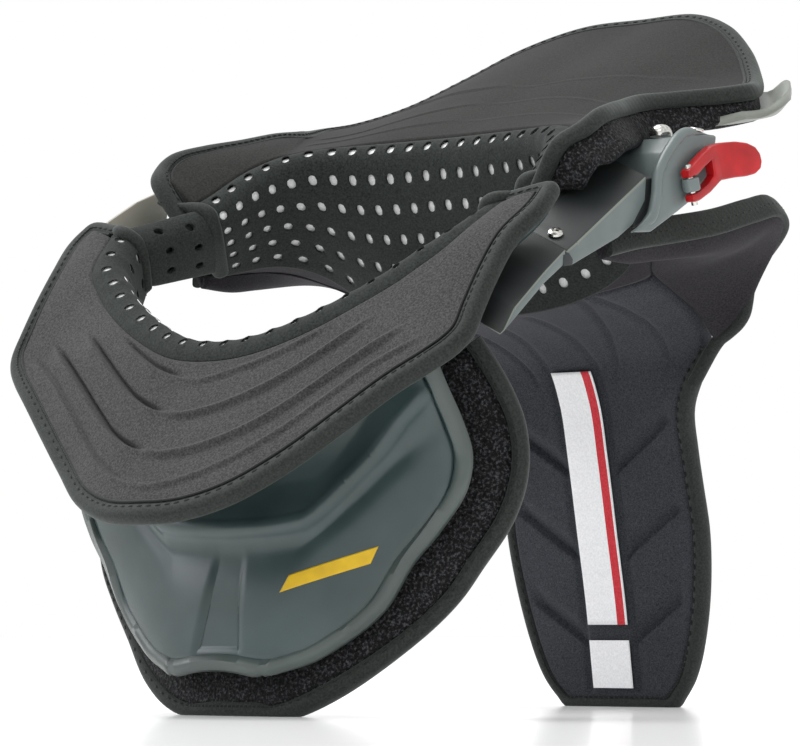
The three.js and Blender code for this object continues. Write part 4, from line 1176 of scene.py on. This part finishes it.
for side, label in ((1, "left"), (-1, "right")):
    side_bar = bar(FRONT_ARM, ARM_X, ARM_WIDTH, ARM_RISE, bevel=1.0, side=side)
    arm = plastic_bar(f"front_arm_{label}", side_bar, "front_chassis")
    paint_top_shade_and_edge_highlight(arm, Vector((ARM_TOP[0] * side, ARM_TOP[1], ARM_TOP[2])).normalized())
slide_bar = bar(SLIDER, ARM_X, ARM_WIDTH, ARM_RISE, bevel=1.3)
slide = plastic_bar("arm_slider_left", slide_bar, "arm_slider_left")
paint_top_shade_and_edge_highlight(slide, Vector(SLIDE_TOP).normalized())
hinge_bar = bar(SLIDER, ARM_X, ARM_WIDTH, ARM_RISE, bevel=1.3, side=-1)
plastic_bar("hinge_arm", hinge_bar, "hinge_arm")
slide_web = bar(SLIDER_WEB, ARM_X - ARM_WIDTH + 1, width=11, rise=2, bevel=0.5)
plastic_bar("slider_web", slide_web, None, DARK_NYLON_AND_PAINTED_SHADE)
bracket = bar(BRACKET, OUTSIDE + BRACKET_WALL, width=BRACKET_WALL, rise=0, bevel=0.9)
plastic_bar("clasp_bracket", bracket, "clasp_bracket")
bead = [(OUTSIDE + 1.4, y, z) for y, z in BRACKET[:7]]
tube("clasp_bracket_rib", bead, 2.2, ARM_NYLON, (1, 0, 0), taper=0.16)
# Dark plate filling the gap between the slider's end and the bracket: painted shade where the gap lies in
# shadow
gap_shade = bar(GAP_SHADE_OUTLINE, ARM_X - 1, width=14, rise=4, bevel=0.5)
plastic_bar("clasp_gap_shade", gap_shade, None, DARK_NYLON_AND_PAINTED_SHADE)
# Dark box on the arm's side: painted shadow in the notch between arm and slider
shadow_mark = bar(SHADOW_MARK_OUTLINE, ARM_X + 0.2, width=2, rise=0.5, bevel=0.1)
plastic_bar("arm_shadow_mark", shadow_mark, None, DARK_NYLON_AND_PAINTED_SHADE)
cover = bar(HINGE_COVER, HINGE_X, width=6, rise=3, bevel=1.2, side=-1)
plastic_bar("hinge_cover", cover, None, HINGE_NYLON)
bracket_web = bar(BRACKET_WEB, OUTSIDE + 0.6, width=32.6, rise=0, bevel=0.8)
plastic_bar("clasp_web", bracket_web, "clasp_bracket")

# The lever's own directions at rest: it climbs 14 mm over 45 mm
LEVER_PIVOT = Vector((129.4, 20, 205))
LEVER_SLOPE = math.atan2(14, 45)
ALONG = Vector((0, math.cos(LEVER_SLOPE), math.sin(LEVER_SLOPE)))
RISE = Vector((0, -math.sin(LEVER_SLOPE), math.cos(LEVER_SLOPE)))
OUT = Vector((1, 0, 0))


def lever_point(along, rise, out):
    return LEVER_PIVOT + ALONG * along + RISE * rise + OUT * out


FORK = [
    (-2.6, 2.4), (3, 2.6), (9, 4.8), (14, 6.2), (13.8, 0.2), (9, -2), (3, -3.6), (-2.6, -4), (-2.6, -7),
    (1, -7.2), (9, -5.7), (17.5, -2.8), (25, -3.4), (31, -4.3), (35.5, -4.4), (38.7, -3), (39.9, -0.4),
    (39.7, 2.8), (37.9, 5.9), (34, 8.4), (28.5, 10.2), (22.5, 11.2), (16.5, 11.4), (10.5, 10), (0, 6.4),
    (-2.6, 5.5),
]
LEVER_THICK = 4.8
SPLAY_FROM, SPLAY = 18.5, 0.22
BEND_CUTS = (15.5, 18.5, 21.5, 27.5, 33.5)


def red_lever():
    """Forked lever: two prongs on the pin that join in a broad paddle, bent outwards for the finger."""
    shape = bmesh.new()
    face = shape.faces.new([shape.verts.new((along, rise, -LEVER_THICK / 2)) for along, rise in FORK])
    grown = bmesh.ops.extrude_face_region(shape, geom=[face])["geom"]
    moved = [v for v in grown if isinstance(v, bmesh.types.BMVert)]
    bmesh.ops.translate(shape, verts=moved, vec=(0, 0, LEVER_THICK))
    bmesh.ops.recalc_face_normals(shape, faces=shape.faces)
    bmesh.ops.bevel(shape, geom=shape.edges[:], offset=0.9, segments=4, profile=0.5,
                    affect="EDGES", material=-1, clamp_overlap=True)
    for along in BEND_CUTS:
        whole = shape.verts[:] + shape.edges[:] + shape.faces[:]
        bmesh.ops.bisect_plane(shape, geom=whole, plane_co=(along, 0, 0), plane_no=(1, 0, 0))
    for vertex in shape.verts:
        along, rise, out = vertex.co
        out += SPLAY * max(along - SPLAY_FROM, 0)
        vertex.co = placed(lever_point(along, rise, out))
    bmesh.ops.recalc_face_normals(shape, faces=shape.faces)
    piece = finished("clasp_lever", shape, LEVER_RED, body="lever", crease=35)
    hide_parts("clasp_lever")


red_lever()


def turned(name, profile, at, axis, finish, node=None):
    """A round piece from (radius, height) stops, spun about an axis."""
    shape = bmesh.new()
    points = [shape.verts.new((radius, 0, height)) for radius, height in profile]
    edges = [shape.edges.new(pair) for pair in zip(points, points[1:])]
    bmesh.ops.spin(shape, geom=points + edges, cent=(0, 0, 0), axis=(0, 0, 1), angle=2 * math.pi,
                   steps=28, use_merge=True)
    bmesh.ops.remove_doubles(shape, verts=shape.verts, dist=1e-4)
    bmesh.ops.recalc_face_normals(shape, faces=shape.faces)
    turn = Vector(axis).to_track_quat("Z", "Y").to_matrix().to_4x4()
    for vertex in shape.verts:
        vertex.co = placed(turn @ vertex.co + Vector(at))
    piece = finished(name, shape, finish, crease=35)
    if node:
        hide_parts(node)


# Profiles of the round pieces as (radius, height)
LEVER_PIN = [(0, -8.8), (1.2, -8.6), (1.3, -8.2), (1.3, 7.0), (1.2, 7.4), (0, 7.6)]
LEVER_BOSS = [(0, -3.0), (3.0, -3.0), (3.4, -2.6), (3.4, 1.6), (3.0, 2.0), (0, 2.0)]
RIVET_HEAD = [(0, 0.2), (4.2, 0.2), (4.6, 1.2), (4.5, 2.4), (3.9, 3.6), (2.6, 4.6), (1.2, 5.0), (0, 5.1)]
SCREW_HEAD = [(0, 0.2), (2.9, 0.2), (3.0, 0.6), (2.6, 1.3), (1.5, 1.7), (1.4, 0.9), (0, 0.9)]
TOP_PIN_HEAD = [(0, 0.0), (2.9, 0.0), (3.0, 0.5), (2.6, 0.9), (2.0, 0.7), (0, 0.6)]
TOP_RUN = SLIDER[4][0] - SLIDER[5][0]
TOP_CLIMB = SLIDER[4][1] - SLIDER[5][1]
SCREW_AXIS = Vector((ARM_RISE * TOP_RUN, -TOP_CLIMB * ARM_WIDTH, TOP_RUN * ARM_WIDTH)).normalized()

turned("lever_pin", LEVER_PIN, LEVER_PIVOT, RISE, STEEL, "lever_pin")
turned("clasp_rivet", RIVET_HEAD, at=(110, 27, 225.1), axis=(0, 0, 1), finish=STEEL, node="clasp_rivet")
turned("arm_screw", SCREW_HEAD, at=(113, -44, 181.6), axis=SCREW_AXIS, finish=STEEL, node="arm_screw")
turned("lever_boss", LEVER_BOSS, LEVER_PIVOT, RISE, ARM_NYLON)
turned("clasp_top_pin", TOP_PIN_HEAD, at=(123.6, 32, 227.2), axis=(0.25, 0, 1), finish=STEEL)

# Sleeve that bridges the linings on the hinge side

SLEEVE_BULGE = 2.6
SLEEVE_COLUMNS, SLEEVE_ROWS, SLEEVE_HOLE = 5, 7, 4.0
SLEEVE_WALL, INNER_WALL = 2.0, 0.6


def hinge_sleeve():
    def place(s, t):
        v = 0.13 + 0.79 * t
        front = FRONT_ROLL.surface(-FRONT_END, v)
        back = REAR_ROLL.surface(-REAR_END, v)
        bulge = Vector((SLEEVE_BULGE * math.sin(math.pi * t), 0, 0))
        return front.lerp(back, 0.02 + 0.96 * s) + bulge
    shape = draped(SLEEVE_COLUMNS, SLEEVE_ROWS, place)
    perforated(shape, spread_cells(shape, SLEEVE_COLUMNS, 2), SLEEVE_HOLE)
    piece = finished("hinge_sleeve", shape, LINING_KNIT, crease=70)
    thickened(piece, SLEEVE_WALL, offset=0.0, levels=2)
    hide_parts("hinge_sleeve")

    def inner_place(s, t):
        return place(0.04 + 0.92 * s, 0.04 + 0.92 * t) - Vector((SLEEVE_BULGE, 0, 0))
    inner = finished("hinge_sleeve_inner", draped(12, 12, inner_place), DARK_NYLON_AND_PAINTED_SHADE, crease=70)
    thickened(inner, INNER_WALL, offset=0.0)


hinge_sleeve()

# Stage

# The photograph's camera, in millimetres and in pixels of its 800 by 746 frame
CAMERA_TURN, CAMERA_DISTANCE, CAMERA_HEIGHT = math.radians(40), 1600, 33
FOCAL_PX, WIDTH_PX, HORIZON_PX, MIDDLE_PX = 4000, 800, 631, 373
SENSOR = 36
# What the lights point at, in metres
LIT_PLACE = (0, 0, 0.15)


def soft_light(name, place, size, power, colour):
    lamp = bpy.data.lights.new(name, "AREA")
    lamp.shape = "DISK"
    lamp.size = size
    lamp.energy = power
    lamp.color = linear(colour)[:3]
    stand = bpy.data.objects.new(name, lamp)
    bpy.context.scene.collection.objects.link(stand)
    stand.location = place
    stand.rotation_euler = (Vector(LIT_PLACE) - Vector(place)).to_track_quat("-Z", "Y").to_euler()


def studio():
    shape = bmesh.new()
    bmesh.ops.create_grid(shape, x_segments=1, y_segments=1, size=12)
    mesh = bpy.data.meshes.new("studio_floor")
    shape.to_mesh(mesh)
    shape.free()
    floor = bpy.data.objects.new("studio_floor", mesh)
    bpy.context.scene.collection.objects.link(floor)
    finish = bpy.data.materials.new("white_acrylic_floor")
    finish.use_nodes = True
    shader = finish.node_tree.nodes["Principled BSDF"]
    shader.inputs["Base Color"].default_value = linear("#fbfbfb")
    shader.inputs["Roughness"].default_value = 0.16
    shader.inputs["Specular IOR Level"].default_value = 0.16
    shader.inputs["Emission Color"].default_value = linear("#ffffff")
    shader.inputs["Emission Strength"].default_value = 0.12
    mesh.materials.append(finish)
    world = bpy.data.worlds.new("studio_world")
    world.use_nodes = True
    world.node_tree.nodes["Background"].inputs["Color"].default_value = (1, 1, 1, 1)
    world.node_tree.nodes["Background"].inputs["Strength"].default_value = 1.0
    bpy.context.scene.world = world
    bpy.context.scene.view_settings.view_transform = "Standard"
    soft_light("key_softbox", (0.8, -1.7, 1.2), size=1.1, power=4, colour="#ffffff")
    soft_light("left_softbox", (-1.6, -0.9, 1.1), size=1.0, power=8, colour="#f4f8ff")
    soft_light("top_softbox", (-0.5, -0.3, 1.8), size=1.2, power=20, colour="#ffffff")


def photo_camera():
    """Long lens from in front, on the wearer's left and just above the floor, as in the photograph."""
    camera = bpy.data.cameras.new("photo_camera")
    camera.sensor_width = SENSOR
    camera.lens = SENSOR * FOCAL_PX / WIDTH_PX
    camera.clip_start = 0.05
    camera.clip_end = 40
    holder = bpy.data.objects.new("photo_camera", camera)
    bpy.context.scene.collection.objects.link(holder)
    across, ahead = math.sin(CAMERA_TURN), math.cos(CAMERA_TURN)
    holder.location = placed(Vector((CAMERA_DISTANCE * across, -CAMERA_DISTANCE * ahead, CAMERA_HEIGHT)))
    pitch = math.atan((HORIZON_PX - MIDDLE_PX) / FOCAL_PX)
    look = Vector((-across * math.cos(pitch), ahead * math.cos(pitch), math.sin(pitch)))
    holder.rotation_euler = look.to_track_quat("-Z", "Y").to_euler()
    bpy.context.scene.camera = holder


studio()
photo_camera()
